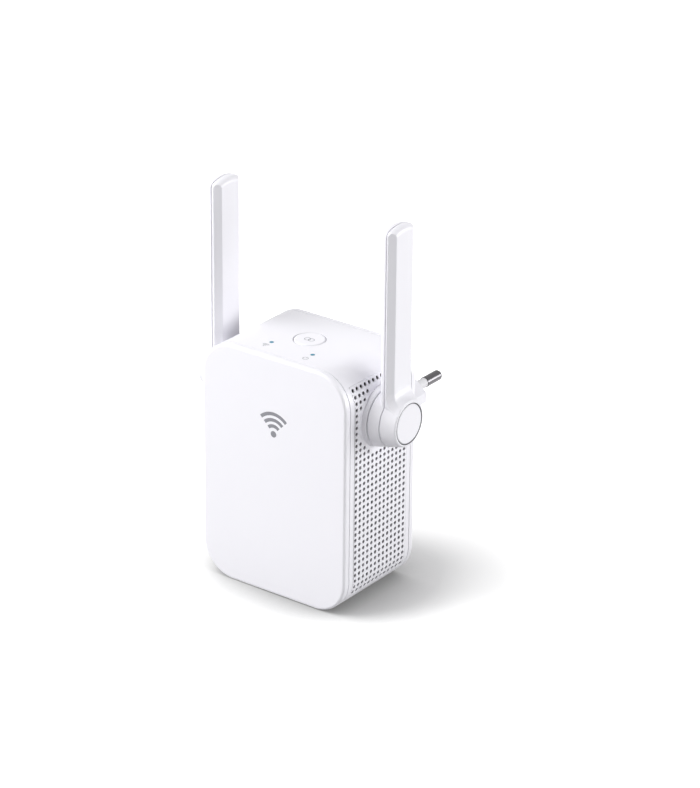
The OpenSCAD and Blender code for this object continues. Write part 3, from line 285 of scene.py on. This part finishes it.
# %% [markdown]
# The pins are drawn metal: the grain is stretched along them. Their colour is much darker
# than bare metal, because it imitates the dark reflections of the photograph's studio. The
# boards are green lacquer over a net of tracks, which a Brick texture draws well enough for
# a part that sits behind the covers. It works in its own X and Y, so a Mapping node first
# turns the board's plane to face it.

# %% The boards
def lacquered_board(name, ground, track, pitch):
    """Green lacquer over a net of tracks."""
    material, tree = finish(name)
    place = tree.add("ShaderNodeTexCoord", output="Object")
    flat = tree.add("ShaderNodeMapping", {}, {
        "Vector": place, "Rotation": (math.radians(90), 0.0, 0.0),
    })
    net = tree.add("ShaderNodeTexBrick", {"offset": 0.37, "squash": 1.6}, {
        "Vector": flat, "Scale": 1.0, "Brick Width": 2.6 * pitch, "Row Height": pitch,
        "Mortar Size": 0.12 * pitch, "Mortar Smooth": 0.2,
    }, output="Fac")
    colour = tree.add("ShaderNodeMix", {"data_type": "RGBA"}, {
        0: net, 6: (*ground, 1.0), 7: (*track, 1.0),
    }, output=2)
    relief = tree.add("ShaderNodeBump", {}, {
        "Height": net, "Strength": 0.4, "Distance": 0.02 * MM,
    })
    shader = tree.add("ShaderNodeBsdfPrincipled", {}, {
        "Base Color": colour, "Roughness": 0.3 + 0.15 * net, "Normal": relief,
    })
    tree.add("ShaderNodeOutputMaterial", {}, {"Surface": shader})
    return material


green_board = lacquered_board(
    "green_board", (0.02, 0.13, 0.06), (0.045, 0.23, 0.11), 1.3 * MM)

# %% The other finishes
ALONG_PIN = (1.0, 0.06, 1.0)
FINISHES = {
    "white_gloss": white_plastic,
    "pin_metal": surfaced("bright_pin", (0.12, 0.117, 0.124), 0.16, 1.0, 2500.0, 0.5, 0.12,
                          streak=ALONG_PIN),
    "sleeve_grey": surfaced("grey_sleeve", (0.74, 0.735, 0.76), 0.45),
    "nut_nylon": surfaced("white_nylon", (0.80, 0.80, 0.77), 0.5),
    "washer_grey": surfaced("grey_washer", (0.40, 0.40, 0.42), 0.75, relief=0.8),
    "spring_copper": surfaced("spring_copper", (0.72, 0.42, 0.24), 0.3, 1.0, streak=ALONG_PIN),
    "spring_steel": surfaced("spring_steel", (0.60, 0.60, 0.62), 0.28, 1.0),
    "circuit_board": green_board,
    "lead_black": surfaced("black_lead", (0.02, 0.02, 0.022), 0.45),
    "black_moulding": surfaced("black_moulding", (0.025, 0.025, 0.027), 0.55, relief=0.6),
    "chip_white": surfaced("white_chip", (0.80, 0.80, 0.76), 0.4),
    "contact_gold": surfaced("gold_contact", (0.83, 0.58, 0.20), 0.25, 1.0),
    "heat_metal": surfaced("ribbed_aluminium", (0.66, 0.67, 0.70), 0.4, 1.0,
                           streak=(1.0, 1.0, 0.05), relief=0.8),
    "winding_tape": surfaced("winding_tape", (0.70, 0.55, 0.08), 0.4, streak=(0.2, 1.0, 1.0)),
    "can_black": surfaced("black_can", (0.03, 0.03, 0.04), 0.3),
    "can_blue": surfaced("blue_can", (0.02, 0.04, 0.20), 0.3),
    "copper_wire": surfaced("copper_wire", (0.60, 0.26, 0.10), 0.35, 1.0),
    "fuse_green": surfaced("green_fuse", (0.20, 0.42, 0.20), 0.35),
    "disc_blue": surfaced("blue_disc", (0.03, 0.15, 0.50), 0.3),
    "fish_paper": surfaced("fish_paper", (0.72, 0.66, 0.45), 0.8, relief=1.0, grain=900.0),
    "blue_light": surfaced("blue_light", (0.04, 0.17, 0.26), 0.2, relief=0.1,
                           Emission_Color=(0.02, 0.22, 0.32, 1.0), Emission_Strength=0.35),
}
slot_of = {row["node"]: row["material_slot"] for row in frame["record"]["subparts"]}
for node, piece in frame["nodes"].items():
    piece.data.materials.clear()
    piece.data.materials.append(FINISHES[slot_of[node]])
print(len(frame["nodes"]), "CAD nodes painted in", len(FINISHES), "finishes")

# %% [markdown]
# ## The perforated side panels
#
# Each side is a field of small round holes that keeps clear of the hinge and follows the
# box's rounded corners. Geometry Nodes suit it well: one cell, a square with a round hole,
# is repeated over a grid, cells near the hinge stay whole, and a last step bends the flat
# field along the body's outline. Changing a pitch then changes the whole panel.
#
# Seen aslant, the real holes are nearly black: the panel is thin at its holes, and behind
# them there is no light. So the same tree grows a second field without holes, a near-black
# sheet of painted shade that lies just behind the openings.

# %% Sizes of the panels
BODY_W, BODY_H, CORNER_R = 63.0 * MM, 92.0 * MM, 13.1 * MM
COLUMN_PITCH, ROW_PITCH = 2.37 * MM, 2.28 * MM
HOLE_R, SKIN = 0.7 * MM, 0.5 * MM
HOLE_CORNERS, WELD = 16, 0.02 * MM
PANEL_FLANGE, BORDER = 0.9 * MM, 1.3 * MM
HUB_CLEAR_R = 12.85 * MM
panel_low, panel_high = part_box("side_grille_right")
window = {
    "Low Y": panel_low[1] + PANEL_FLANGE, "High Y": panel_high[1] - PANEL_FLANGE,
    "Low Z": panel_low[2] + PANEL_FLANGE, "High Z": panel_high[2] - PANEL_FLANGE,
}
hub_low, hub_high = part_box("hub_cap_right")
hinge_y, hinge_z = (hub_low[1] + hub_high[1]) / 2, (hub_low[2] + hub_high[2]) / 2
columns = int((window["High Y"] - window["Low Y"] - 2 * BORDER) / COLUMN_PITCH) + 1
rows = int((window["High Z"] - window["Low Z"] - 2 * BORDER) / ROW_PITCH) + 1
print("grid of holes:", columns, "x", rows)


# %% The panel's tree
def panel_tree():
    """The Geometry Nodes tree of a perforated panel."""
    group = bpy.data.node_groups.new("perforated_panel", "GeometryNodeTree")
    face = group.interface
    face.new_socket("Geometry", in_out="OUTPUT", socket_type="NodeSocketGeometry")
    for name in ("Columns", "Rows"):
        face.new_socket(name, in_out="INPUT", socket_type="NodeSocketInt")
    for name in ("Column Pitch", "Row Pitch", "Low Y", "High Y", "Low Z", "High Z", "Hole R",
                 "Skin", "Sunk", "Corner R", "Half Width", "Body Height", "Hinge Y", "Hinge Z",
                 "Clear R", "Side"):
        face.new_socket(name, in_out="INPUT", socket_type="NodeSocketFloat")
    face.new_socket("Plastic", in_out="INPUT", socket_type="NodeSocketMaterial")
    tree = Tree(group)
    given = group.nodes.new("NodeGroupInput")
    size = {s.name: Wire(tree, s) for s in given.outputs if s.name}

    # the cells' centres: X holds the row frame's Y, and Y its Z
    across = size["Column Pitch"] * (size["Columns"] - 1)
    up = size["Row Pitch"] * (size["Rows"] - 1)
    middle = tree.add("ShaderNodeCombineXYZ", {}, {
        "X": (size["Low Y"] + size["High Y"]) * 0.5, "Y": (size["Low Z"] + size["High Z"]) * 0.5,
    })
    grid = tree.add("GeometryNodeMeshGrid", {}, {
        "Size X": across, "Size Y": up,
        "Vertices X": size["Columns"], "Vertices Y": size["Rows"],
    })
    grid = tree.add("GeometryNodeTransform", {}, {"Geometry": grid, "Translation": middle})

    # holes keep clear of the hinge
    position = tree.add("GeometryNodeInputPosition")
    y = tree.add("ShaderNodeSeparateXYZ", {}, {"Vector": position})
    z, depth = y.other(1), y.other(2)
    off_y, off_z = y - size["Hinge Y"], z - size["Hinge Z"]
    open_cell = (off_y * off_y + off_z * off_z).root() > size["Clear R"]

    # one cell: a square with a round hole, and the hole's wall behind it
    square = tree.add("GeometryNodeCurvePrimitiveQuadrilateral", {}, {
        "Width": size["Column Pitch"], "Height": size["Row Pitch"],
    })
    circle = tree.add("GeometryNodeCurvePrimitiveCircle", {}, {
        "Resolution": HOLE_CORNERS, "Radius": size["Hole R"],
    })
    both = tree.add("GeometryNodeJoinGeometry", {}, {"Geometry": [square, circle]})
    holed = tree.add("GeometryNodeFillCurve", {}, {"Curve": both})
    whole = tree.add("GeometryNodeMeshGrid", {}, {
        "Size X": size["Column Pitch"], "Size Y": size["Row Pitch"],
        "Vertices X": 2, "Vertices Y": 2,
    })
    tube = tree.add("GeometryNodeMeshCylinder", {"fill_type": "NONE"}, {
        "Vertices": HOLE_CORNERS, "Radius": size["Hole R"], "Depth": size["Skin"],
    })
    tube = tree.add("GeometryNodeFlipFaces", {}, {"Mesh": tube})
    inwards = tree.add("ShaderNodeCombineXYZ", {}, {"Z": size["Skin"] * -0.5})
    tube = tree.add("GeometryNodeTransform", {}, {"Geometry": tube, "Translation": inwards})

    def repeat(cell, where):
        copies = tree.add("GeometryNodeInstanceOnPoints", {}, {
            "Points": grid, "Selection": where, "Instance": cell,
        })
        return tree.add("GeometryNodeRealizeInstances", {}, {"Geometry": copies})

    skin = tree.add("GeometryNodeJoinGeometry", {}, {
        "Geometry": [repeat(holed, open_cell), repeat(whole, 1 - open_cell)],
    })
    skin = tree.add("GeometryNodeMergeByDistance", {}, {"Geometry": skin, "Distance": WELD})

    # the outermost row of points is stretched to the window's edge
    half_y = (size["High Y"] - size["Low Y"]) * 0.5
    half_z = (size["High Z"] - size["Low Z"]) * 0.5
    from_y = y - (size["Low Y"] + size["High Y"]) * 0.5
    from_z = z - (size["Low Z"] + size["High Z"]) * 0.5
    reach_y = size["Column Pitch"] * size["Columns"] * 0.5
    reach_z = size["Row Pitch"] * size["Rows"] * 0.5
    edge = 0.05 * MM
    pull_y = (from_y > reach_y - edge) - (from_y < edge - reach_y)
    pull_z = (from_z > reach_z - edge) - (from_z < edge - reach_z)
    stretch = tree.add("ShaderNodeCombineXYZ", {}, {
        "X": pull_y * (half_y - reach_y), "Y": pull_z * (half_z - reach_z),
    })
    skin = tree.add("GeometryNodeSetPosition", {}, {"Geometry": skin, "Offset": stretch})

    # bend the flat field along the outline of the body, and turn it to its side
    field = tree.add("GeometryNodeJoinGeometry", {}, {
        "Geometry": [skin, repeat(tube, open_cell)],
    })
    beyond = (size["Corner R"] - z).most(z - size["Body Height"] + size["Corner R"]).most(0.0)
    arc = (size["Corner R"] * size["Corner R"] - beyond * beyond).root()
    outer = size["Half Width"] - size["Corner R"] + arc + depth - size["Sunk"]
    bent = tree.add("ShaderNodeCombineXYZ", {}, {"X": outer * size["Side"], "Y": y, "Z": z})
    field = tree.add("GeometryNodeSetPosition", {}, {"Geometry": field, "Position": bent})
    # the left-hand side is a mirror image, so its faces are turned to point outwards
    field = tree.add("GeometryNodeFlipFaces", {}, {
        "Mesh": field, "Selection": size["Side"] < 0.0,
    })
    field = tree.add("GeometryNodeRealizeInstances", {}, {"Geometry": field})
    field = tree.add("GeometryNodeSetMaterial", {}, {
        "Geometry": field, "Material": size["Plastic"],
    })
    tree.add("NodeGroupOutput", {}, {"Geometry": field})
    return group


panel_nodes = panel_tree()


# %% Both panels
def grown(name, group, values):
    """The mesh that a tree makes with these inputs, as an object without its modifier."""
    piece = linked(name, bpy.data.meshes.new(name))
    modifier = piece.modifiers.new("nodes", "NODES")
    modifier.node_group = group
    for item in group.interface.items_tree:
        if item.item_type == "SOCKET" and item.in_out == "INPUT":
            modifier[item.identifier] = values[item.name]
    graph = bpy.context.evaluated_depsgraph_get()
    mesh = bpy.data.meshes.new_from_object(piece.evaluated_get(graph))
    piece.modifiers.clear()
    piece.data = mesh
    mesh.name = name
    return piece


# %% [markdown]
# The painted hole shade is the same field with the clearance round the hinge made larger than
# the panel, so that every cell stays whole: a near-black sheet of painted shade. So is the
# margin, a narrow grey strip on the panel's front edge: painted shade for the darker band
# that the photograph shows there.

# %% The six fields
# painted shade: a near-black sheet behind the holes, and a grey strip along the panel's front
# edge
painted_hole_shade = surfaced("painted_hole_shade", (0.006, 0.006, 0.007), 0.9, relief=1.0, grain=1200.0,
                      Specular_IOR_Level=0.1)
painted_shade_margin = surfaced("painted_shade_margin", (0.52, 0.516, 0.545), 0.5)
MARGIN, MARGIN_PROUD = 0.7 * MM, 0.02 * MM
EVERYWHERE = 1.0  # a clearance in metres, wider than the panel
for side_name, side in SIDES:
    shared = {
        "Columns": columns, "Rows": rows, "Column Pitch": COLUMN_PITCH,
        "Row Pitch": ROW_PITCH, "Hole R": HOLE_R, "Skin": SKIN, "Corner R": CORNER_R,
        "Half Width": BODY_W / 2, "Body Height": BODY_H, "Hinge Y": hinge_y,
        "Hinge Z": hinge_z, "Side": side, **window,
    }
    panel = grown(f"perforated_panel_{side_name}", panel_nodes, {
        **shared, "Clear R": HUB_CLEAR_R, "Sunk": 0.0, "Plastic": white_panel,
    })
    # the near-black sheet of painted shade just behind the holes
    hole_shade_sheet = grown(f"painted_hole_shade_{side_name}", panel_nodes, {
        **shared, "Clear R": EVERYWHERE, "Sunk": SKIN, "Plastic": painted_hole_shade,
    })
    # a grey strip of painted shade along the panel's front edge
    margin = grown(f"panel_margin_{side_name}", panel_nodes, {
        **shared, "Columns": 2, "Column Pitch": MARGIN / 2, "High Y": window["Low Y"] + MARGIN,
        "Clear R": EVERYWHERE, "Sunk": -MARGIN_PROUD, "Plastic": painted_shade_margin,
    })
    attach(margin, "housing")
    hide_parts(f"side_grille_{side_name}")
    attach(panel, "housing")
    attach(hole_shade_sheet, "housing")
    print(panel.name, len(panel.data.polygons), "faces;",
          hole_shade_sheet.name, len(hole_shade_sheet.data.polygons), "faces")

# %% [markdown]
# ## From a pixel to a surface
#
# What is added to a surface is placed through the camera: a ray through a pixel of the
# photograph runs until it meets the finished piece that carries the new one. A search tree
# of the carrier's triangles makes that quick. A ray that misses takes the place nearest
# to it, found by stepping between the ray and the surface.

# %% Rays
LONG_SIDE = max(PHOTO_W, PHOTO_H)
FOCAL = LONG_SIDE * LENS / SENSOR
MISS_STEPS = 20  # steps between a ray that misses and the nearest surface


def search_tree(*carriers):
    """One search tree over the finished meshes of some objects."""
    corners, faces = [], []
    graph = bpy.context.evaluated_depsgraph_get()
    for carrier in carriers:
        done = carrier.evaluated_get(graph)
        mesh = done.to_mesh()
        first = len(corners)
        corners += [carrier.matrix_world @ v.co for v in mesh.vertices]
        faces += [[first + i for i in face.vertices] for face in mesh.polygons]
        done.to_mesh_clear()
    return BVHTree.FromPolygons(corners, faces)


def meet(x, y, carriers):
    """The place and the outward normal where the ray through a pixel meets the carriers."""
    away = Vector((
        x - PHOTO_W / 2 + camera_data.shift_x * LONG_SIDE,
        PHOTO_H / 2 - y + camera_data.shift_y * LONG_SIDE,
        -FOCAL,
    ))
    start = camera.matrix_world.translation
    away = (camera.matrix_world.to_3x3() @ away).normalized()
    place, normal, _, _ = carriers.ray_cast(start, away)
    if place is None:
        probe = start + away * (AIM - start).dot(away)
        for _ in range(MISS_STEPS):
            place, normal, _, _ = carriers.find_nearest(probe)
            probe = start + away * (place - start).dot(away)
    return place, normal


def pixel(point):
    """Where a point of the scene shows in the photograph's frame."""
    seen = camera.matrix_world.inverted() @ point
    return (
        PHOTO_W / 2 - camera_data.shift_x * LONG_SIDE - seen.x / seen.z * FOCAL,
        PHOTO_H / 2 + camera_data.shift_y * LONG_SIDE + seen.y / seen.z * FOCAL,
    )


# %% [markdown]
# ## Printed marks
#
# The real extender has a maker's sign on its front and short words on its top. Their places
# are kept, at about the same size and in the same grey, but hold plain signs: arcs for the
# radio, a ring with a stroke for power, and two links for pairing. A mark is ink, so each
# stroke is a prism a few hundredths of a millimetre thick, built from its outline in flat
# coordinates and laid on the surface that the ray meets.

# %% Strokes
def arc(radius, start, end, centre=(0.0, 0.0), steps=20):
    """Points on an arc, its angles in degrees."""
    turns = (math.radians(start + (end - start) * i / steps) for i in range(steps + 1))
    return [(centre[0] + radius * math.cos(t), centre[1] + radius * math.sin(t))
            for t in turns]


def stroke(path, width):
    """The outline of a line of even width along a path."""
    left, right = [], []
    for i, (x, y) in enumerate(path):
        (x0, y0), (x1, y1) = path[max(i - 1, 0)], path[min(i + 1, len(path) - 1)]
        run = math.hypot(x1 - x0, y1 - y0)
        dx, dy = (x1 - x0) / run * width / 2, (y1 - y0) / run * width / 2
        left.append((x - dy, y + dx))
        right.append((x + dy, y - dx))
    return right + left[::-1]


def ring(radius, width, centre=(0.0, 0.0)):
    """A ring as two half strokes."""
    return [stroke(arc(radius, a, a + 180, centre), width) for a in (0, 180)]


# %% The signs, in units of their own
INK_SUNK, INK_PROUD = 0.02 * MM, 0.02 * MM
RADIO = [arc(0.9, 0, 360)[:-1]] + [stroke(arc(r, 45, 135), 0.95) for r in (2.3, 4.0, 5.7)]
POWER = [stroke(arc(2.6, 120, 420), 0.8), stroke([(0.0, 0.6), (0.0, 3.4)], 0.8)]
LINKS = ring(1.7, 0.5, (-1.25, 0.0)) + ring(1.7, 0.5, (1.25, 0.0))


def printed(name, sign, size, x, y, carrier, body, up, ink):
    """Print a sign on a carrier so that its middle shows at a pixel."""
    place, outward = meet(x, y, search_tree(frame["nodes"][carrier]))
    up = (up - outward * up.dot(outward)).normalized()
    across = up.cross(outward)
    span = [[p[k] for outline in sign for p in outline] for k in (0, 1)]
    scale = size / (max(span[1]) - min(span[1]))
    middle = [(max(s) + min(s)) / 2 for s in span]
    corners, faces = [], []
    for outline in sign:
        first, n = len(corners), len(outline)
        for level in (-INK_SUNK, INK_PROUD):
            corners += [
                place + scale * ((u - middle[0]) * across + (v - middle[1]) * up)
                + level * outward for u, v in outline]
        faces.append([first + i for i in reversed(range(n))])
        faces.append([first + n + i for i in range(n)])
        faces += [[first + i, first + (i + 1) % n, first + n + (i + 1) % n, first + n + i]
                  for i in range(n)]
    mesh = bpy.data.meshes.new(name)
    mesh.from_pydata(corners, [], faces)
    mesh.materials.append(ink)
    mark = linked(name, mesh)
    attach(mark, body)
    print(name, "at (mm):", [round(c / MM, 1) for c in place])
    return mark


# %% The marks in their places
grey_ink = surfaced("grey_ink", (0.235, 0.235, 0.26), 0.5, relief=0.5)
pale_ink = surfaced("pale_ink", (0.42, 0.42, 0.45), 0.5, relief=0.5)
UP, REARWARD = Vector((0, 0, 1)), Vector((0, 1, 0))
printed("front_mark", RADIO, 9.6 * MM, 273.5, 425.0, "front_cover", "housing", UP, grey_ink)
printed("signal_mark", RADIO, 2.4 * MM, 265.0, 344.8, "main_housing", "housing", REARWARD,
        pale_ink)
printed("power_mark", POWER, 2.4 * MM, 305.6, 358.2, "main_housing", "housing", REARWARD,
        pale_ink)
printed("pair_mark", LINKS, 2.5 * MM, 309.5, 339.4, "pair_button", "pair_button", REARWARD,
        pale_ink)

# %% [markdown]
# ## The gap round each hub cap
#
# The cap sits in a round seat with a third of a millimetre of air about it. On the real
# antenna that gap is deep and reads as a dark line, so its floor holds a ring of painted
# shade: a dark rectangle spun round the hinge axis with bmesh, which makes a closed ring.

# %% The rings of painted shade
GAP, SHADE_RING_SEGMENTS = 0.35 * MM, 96
SHADE_RING_DEEP, SHADE_RING_BELOW = 0.5 * MM, 0.12 * MM  # its depth, and how far it lies under the cap
# painted shade: the dark grey of the ring stands for the shade deep in the gap
painted_gap_shade = surfaced("painted_gap_shade", (0.10, 0.10, 0.11), 0.8)


def shade_ring(side_name, side):
    """A closed ring of painted shade in the gap between a hub cap and its seat."""
    low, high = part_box(f"hub_cap_{side_name}")
    inner = (high[1] - low[1]) / 2
    outer_x = max(abs(low[0]), abs(high[0])) - SHADE_RING_BELOW
    floor_x = outer_x - SHADE_RING_DEEP
    corners = [(outer_x, inner), (floor_x, inner), (floor_x, inner + GAP), (outer_x, inner + GAP)]
    mesh = bmesh.new()
    loops = []
    for i in range(SHADE_RING_SEGMENTS):
        turn = 2 * math.pi * i / SHADE_RING_SEGMENTS
        loops.append([
            mesh.verts.new((side * x, hinge_y + r * math.cos(turn), hinge_z + r * math.sin(turn)))
            for x, r in corners])
    for loop, after in zip(loops, loops[1:] + loops[:1]):
        for i in range(len(corners)):
            j = (i + 1) % len(corners)
            mesh.faces.new((loop[i], loop[j], after[j], after[i]))
    bmesh.ops.recalc_face_normals(mesh, faces=mesh.faces)
    name = f"cap_gap_painted_shade_{side_name}"
    piece = linked(name, bpy.data.meshes.new(name))
    mesh.to_mesh(piece.data)
    mesh.free()
    piece.data.materials.append(painted_gap_shade)
    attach(piece, f"antenna_{side_name}")
    return piece


for side_name, side in SIDES:
    print(shade_ring(side_name, side).name, "has", SHADE_RING_SEGMENTS, "segments")

# %% [markdown]
# ## Floor and light
#
# A catalogue picture stands on white paper, in a white studio. What looks at the scene
# directly, by way of a gloss or through glass sees that studio, which the Light Path node
# tells apart, while the parts are lit by a paler world and the lamps.

# %% The white studio
def is_looked_at(tree):
    """1 for rays of the camera, of a gloss and through glass, otherwise 0."""
    path = tree.add("ShaderNodeLightPath")
    camera_ray, glossy_ray, glass_ray = (
        path.other(name)
        for name in ("Is Camera Ray", "Is Glossy Ray", "Is Transmission Ray"))
    return camera_ray.most(glossy_ray).most(glass_ray)


SKY = 0.35
world = bpy.data.worlds.new("pale_studio")
bpy.context.scene.world = world
world.use_nodes = True
world.node_tree.nodes.clear()
air = Tree(world.node_tree)
strength = SKY + is_looked_at(air) * (1.0 - SKY)
sky = air.add("ShaderNodeBackground", {}, {"Color": (1.0, 1.0, 1.0, 1.0), "Strength": strength})
air.add("ShaderNodeOutputWorld", {}, {"Surface": sky})
bpy.context.scene.view_settings.view_transform = "Standard"

# %% [markdown]
# The paper keeps a soft shadow. An Ambient Occlusion node deepens it where the object comes
# near, and a glow that rises away from the object clears the rest to white. Only the rays
# that look at the paper see the glow. From below the paper is clear, so that the bottom
# face can be looked at.

# %% The paper
REACH, FLOOR_DROP = 6.0, 0.02 * MM  # half its width, and how far it lies below the object
PAPER, PAPER_SEEN = 0.35, 0.95  # its white for the light's rays, and for those that look
CONTACT, DEPTH = 0.03, 1.5  # how far the contact shade reaches, and how deep it is
SHADE_LIFT, LIFT = 0.18, 0.6  # the glow everywhere, and what the clearing adds to it
CLEAR_FROM, CLEAR_TO = 0.032, 0.09  # where the clearing starts and where it is full
CLEAR_ROUND = (0.012, 0.010, 0.0)  # the place that it starts round
floor_mesh = bpy.data.meshes.new("paper_floor")
floor_mesh.from_pydata(
    [(-REACH, -REACH, 0), (REACH, -REACH, 0), (REACH, REACH, 0), (-REACH, REACH, 0)], [],
    [(0, 1, 2, 3)])
floor = linked("paper_floor", floor_mesh)
floor.location.z = cad_low.z - FLOOR_DROP

paper, tree = finish("white_paper")
looked_at = is_looked_at(tree)
place = tree.add("ShaderNodeTexCoord", output="Object")
centred = tree.add("ShaderNodeVectorMath", {"operation": "SUBTRACT"}, {
    0: place, 1: CLEAR_ROUND,
})
away = tree.add("ShaderNodeVectorMath", {"operation": "LENGTH"}, {0: centred}, output="Value")
clearing = ((away - CLEAR_FROM) / (CLEAR_TO - CLEAR_FROM)).most(0.0).least(1.0)
open_air = tree.add("ShaderNodeAmbientOcclusion", {"samples": 16}, {"Distance": CONTACT},
                    output="AO")
seen = open_air ** DEPTH * PAPER_SEEN
matt = tree.add("ShaderNodeBsdfDiffuse", {}, {
    "Color": PAPER + looked_at * (seen - PAPER),
})
glow = tree.add("ShaderNodeEmission", {}, {
    "Color": (1.0, 1.0, 1.0, 1.0), "Strength": looked_at * (clearing * LIFT + SHADE_LIFT),
})
lit_paper = tree.add("ShaderNodeAddShader", {}, {0: matt, 1: glow})
from_below = tree.add("ShaderNodeNewGeometry", output="Backfacing")
nothing = tree.add("ShaderNodeBsdfTransparent")
tree.add("ShaderNodeOutputMaterial", {}, {
    "Surface": tree.add("ShaderNodeMixShader", {}, {0: from_below, 1: lit_paper, 2: nothing}),
})
floor_mesh.materials.append(paper)


# %% [markdown]
# Five square lamps face the object: two at its left front, one high and one low, one in
# front, and two at its right, one of them further back. Their powers follow the brightness
# of the photograph's surfaces.

# %% The lamps
def softbox(name, place, size, power):
    """A square lamp that faces the middle of the object."""
    lamp = bpy.data.lights.new(name, "AREA")
    lamp.shape, lamp.size, lamp.energy = "SQUARE", size, power
    holder = linked(name, lamp)
    holder.location = place
    holder.rotation_euler = (Vector(place) - MIDDLE).to_track_quat("Z", "Y").to_euler()
    return holder


MIDDLE = Vector((0.0, 0.0, 0.06))
softbox("high_left_softbox", (-0.55, -0.45, 0.95), 0.7, 7.8)
softbox("low_left_softbox", (-0.80, -0.75, 0.45), 0.7, 6.0)
softbox("front_softbox", (-0.28, -1.10, 0.50), 0.6, 2.6)
softbox("right_softbox", (1.10, 0.20, 0.14), 0.5, 3.9)
softbox("right_rear_softbox", (0.85, 0.70, 0.20), 0.5, 6.4)

# %% [markdown]
# ## How true it is
#
# The script prints how far each thing shows from the point that was read for it. A vertex
# shows when nothing lies between it and the camera.

# %% Vertices that show
HIT_SLACK = 0.05 * MM
shown_pieces = {
    o.name: o for o in bpy.context.scene.objects
    if o.type == "MESH" and not o.hide_render and o is not floor
}
everything = search_tree(*shown_pieces.values())


def showing(piece, above=-math.inf):
    """The pixels of a piece's vertices that nothing hides, from a height upwards."""
    start = camera.matrix_world.translation
    graph = bpy.context.evaluated_depsgraph_get()
    done = piece.evaluated_get(graph)
    places = {tuple(piece.matrix_world @ v.co) for v in done.to_mesh().vertices}
    done.to_mesh_clear()
    places = [p for p in places if p[2] > above]
    seen = []
    for place in places:
        way = Vector(place) - start
        hit = everything.ray_cast(start, way.normalized())[3]
        if hit is None or hit > way.length - HIT_SLACK:
            seen.append(pixel(Vector(place)))
    return seen


# %% Distances from the image points
def edge(names, axis, pick, above=-math.inf):
    """The outermost pixel of some pieces along an axis, from a height upwards."""
    return pick(p[axis] for name in names for p in showing(shown_pieces[name], above))


def middle(name):
    """The middle of what shows of a piece."""
    seen = showing(shown_pieces[name])
    return [(min(p[k] for p in seen) + max(p[k] for p in seen)) / 2 for k in (0, 1)]


CAD_NAME = {node: piece.name for node, piece in frame["nodes"].items()}
antennas = [CAD_NAME[n] for n in CAD_NAME if n.startswith("antenna_outer_shell")]
found = {
    "object_left": (edge([CAD_NAME["antenna_outer_shell_left"]], 0, min), None),
    "object_right": (edge([CAD_NAME["plug_pin_right"]], 0, max), None),
    "object_top": (None, edge(antennas, 1, min)),
    "object_bottom": (None, edge([CAD_NAME["front_cover"]], 1, max)),
    "signal_light": middle(CAD_NAME["light_guide_signal"]),
    "power_light": middle(CAD_NAME["light_guide_power"]),
    "pair_button": middle(CAD_NAME["pair_button"]),
    "right_hub_cap": middle(CAD_NAME["hub_cap_right"]),
    "right_blade_top": (None, edge([CAD_NAME["antenna_outer_shell_right"]], 1, min)),
    "right_blade_left": (edge([CAD_NAME["antenna_inner_shell_right"]], 0, min, BODY_H), None),
    "front_cover_left": (edge([CAD_NAME["front_cover"]], 0, min), None),
    "plug_boss_right": (edge([CAD_NAME["plug_insert"]], 0, max), None),
}
offsets = {
    name: [None if want is None or got is None else round(got - want, 2)
           for want, got in zip(POINTS[name], found[name])]
    for name in POINTS
}
for name, offset in offsets.items():
    print(name, offset)
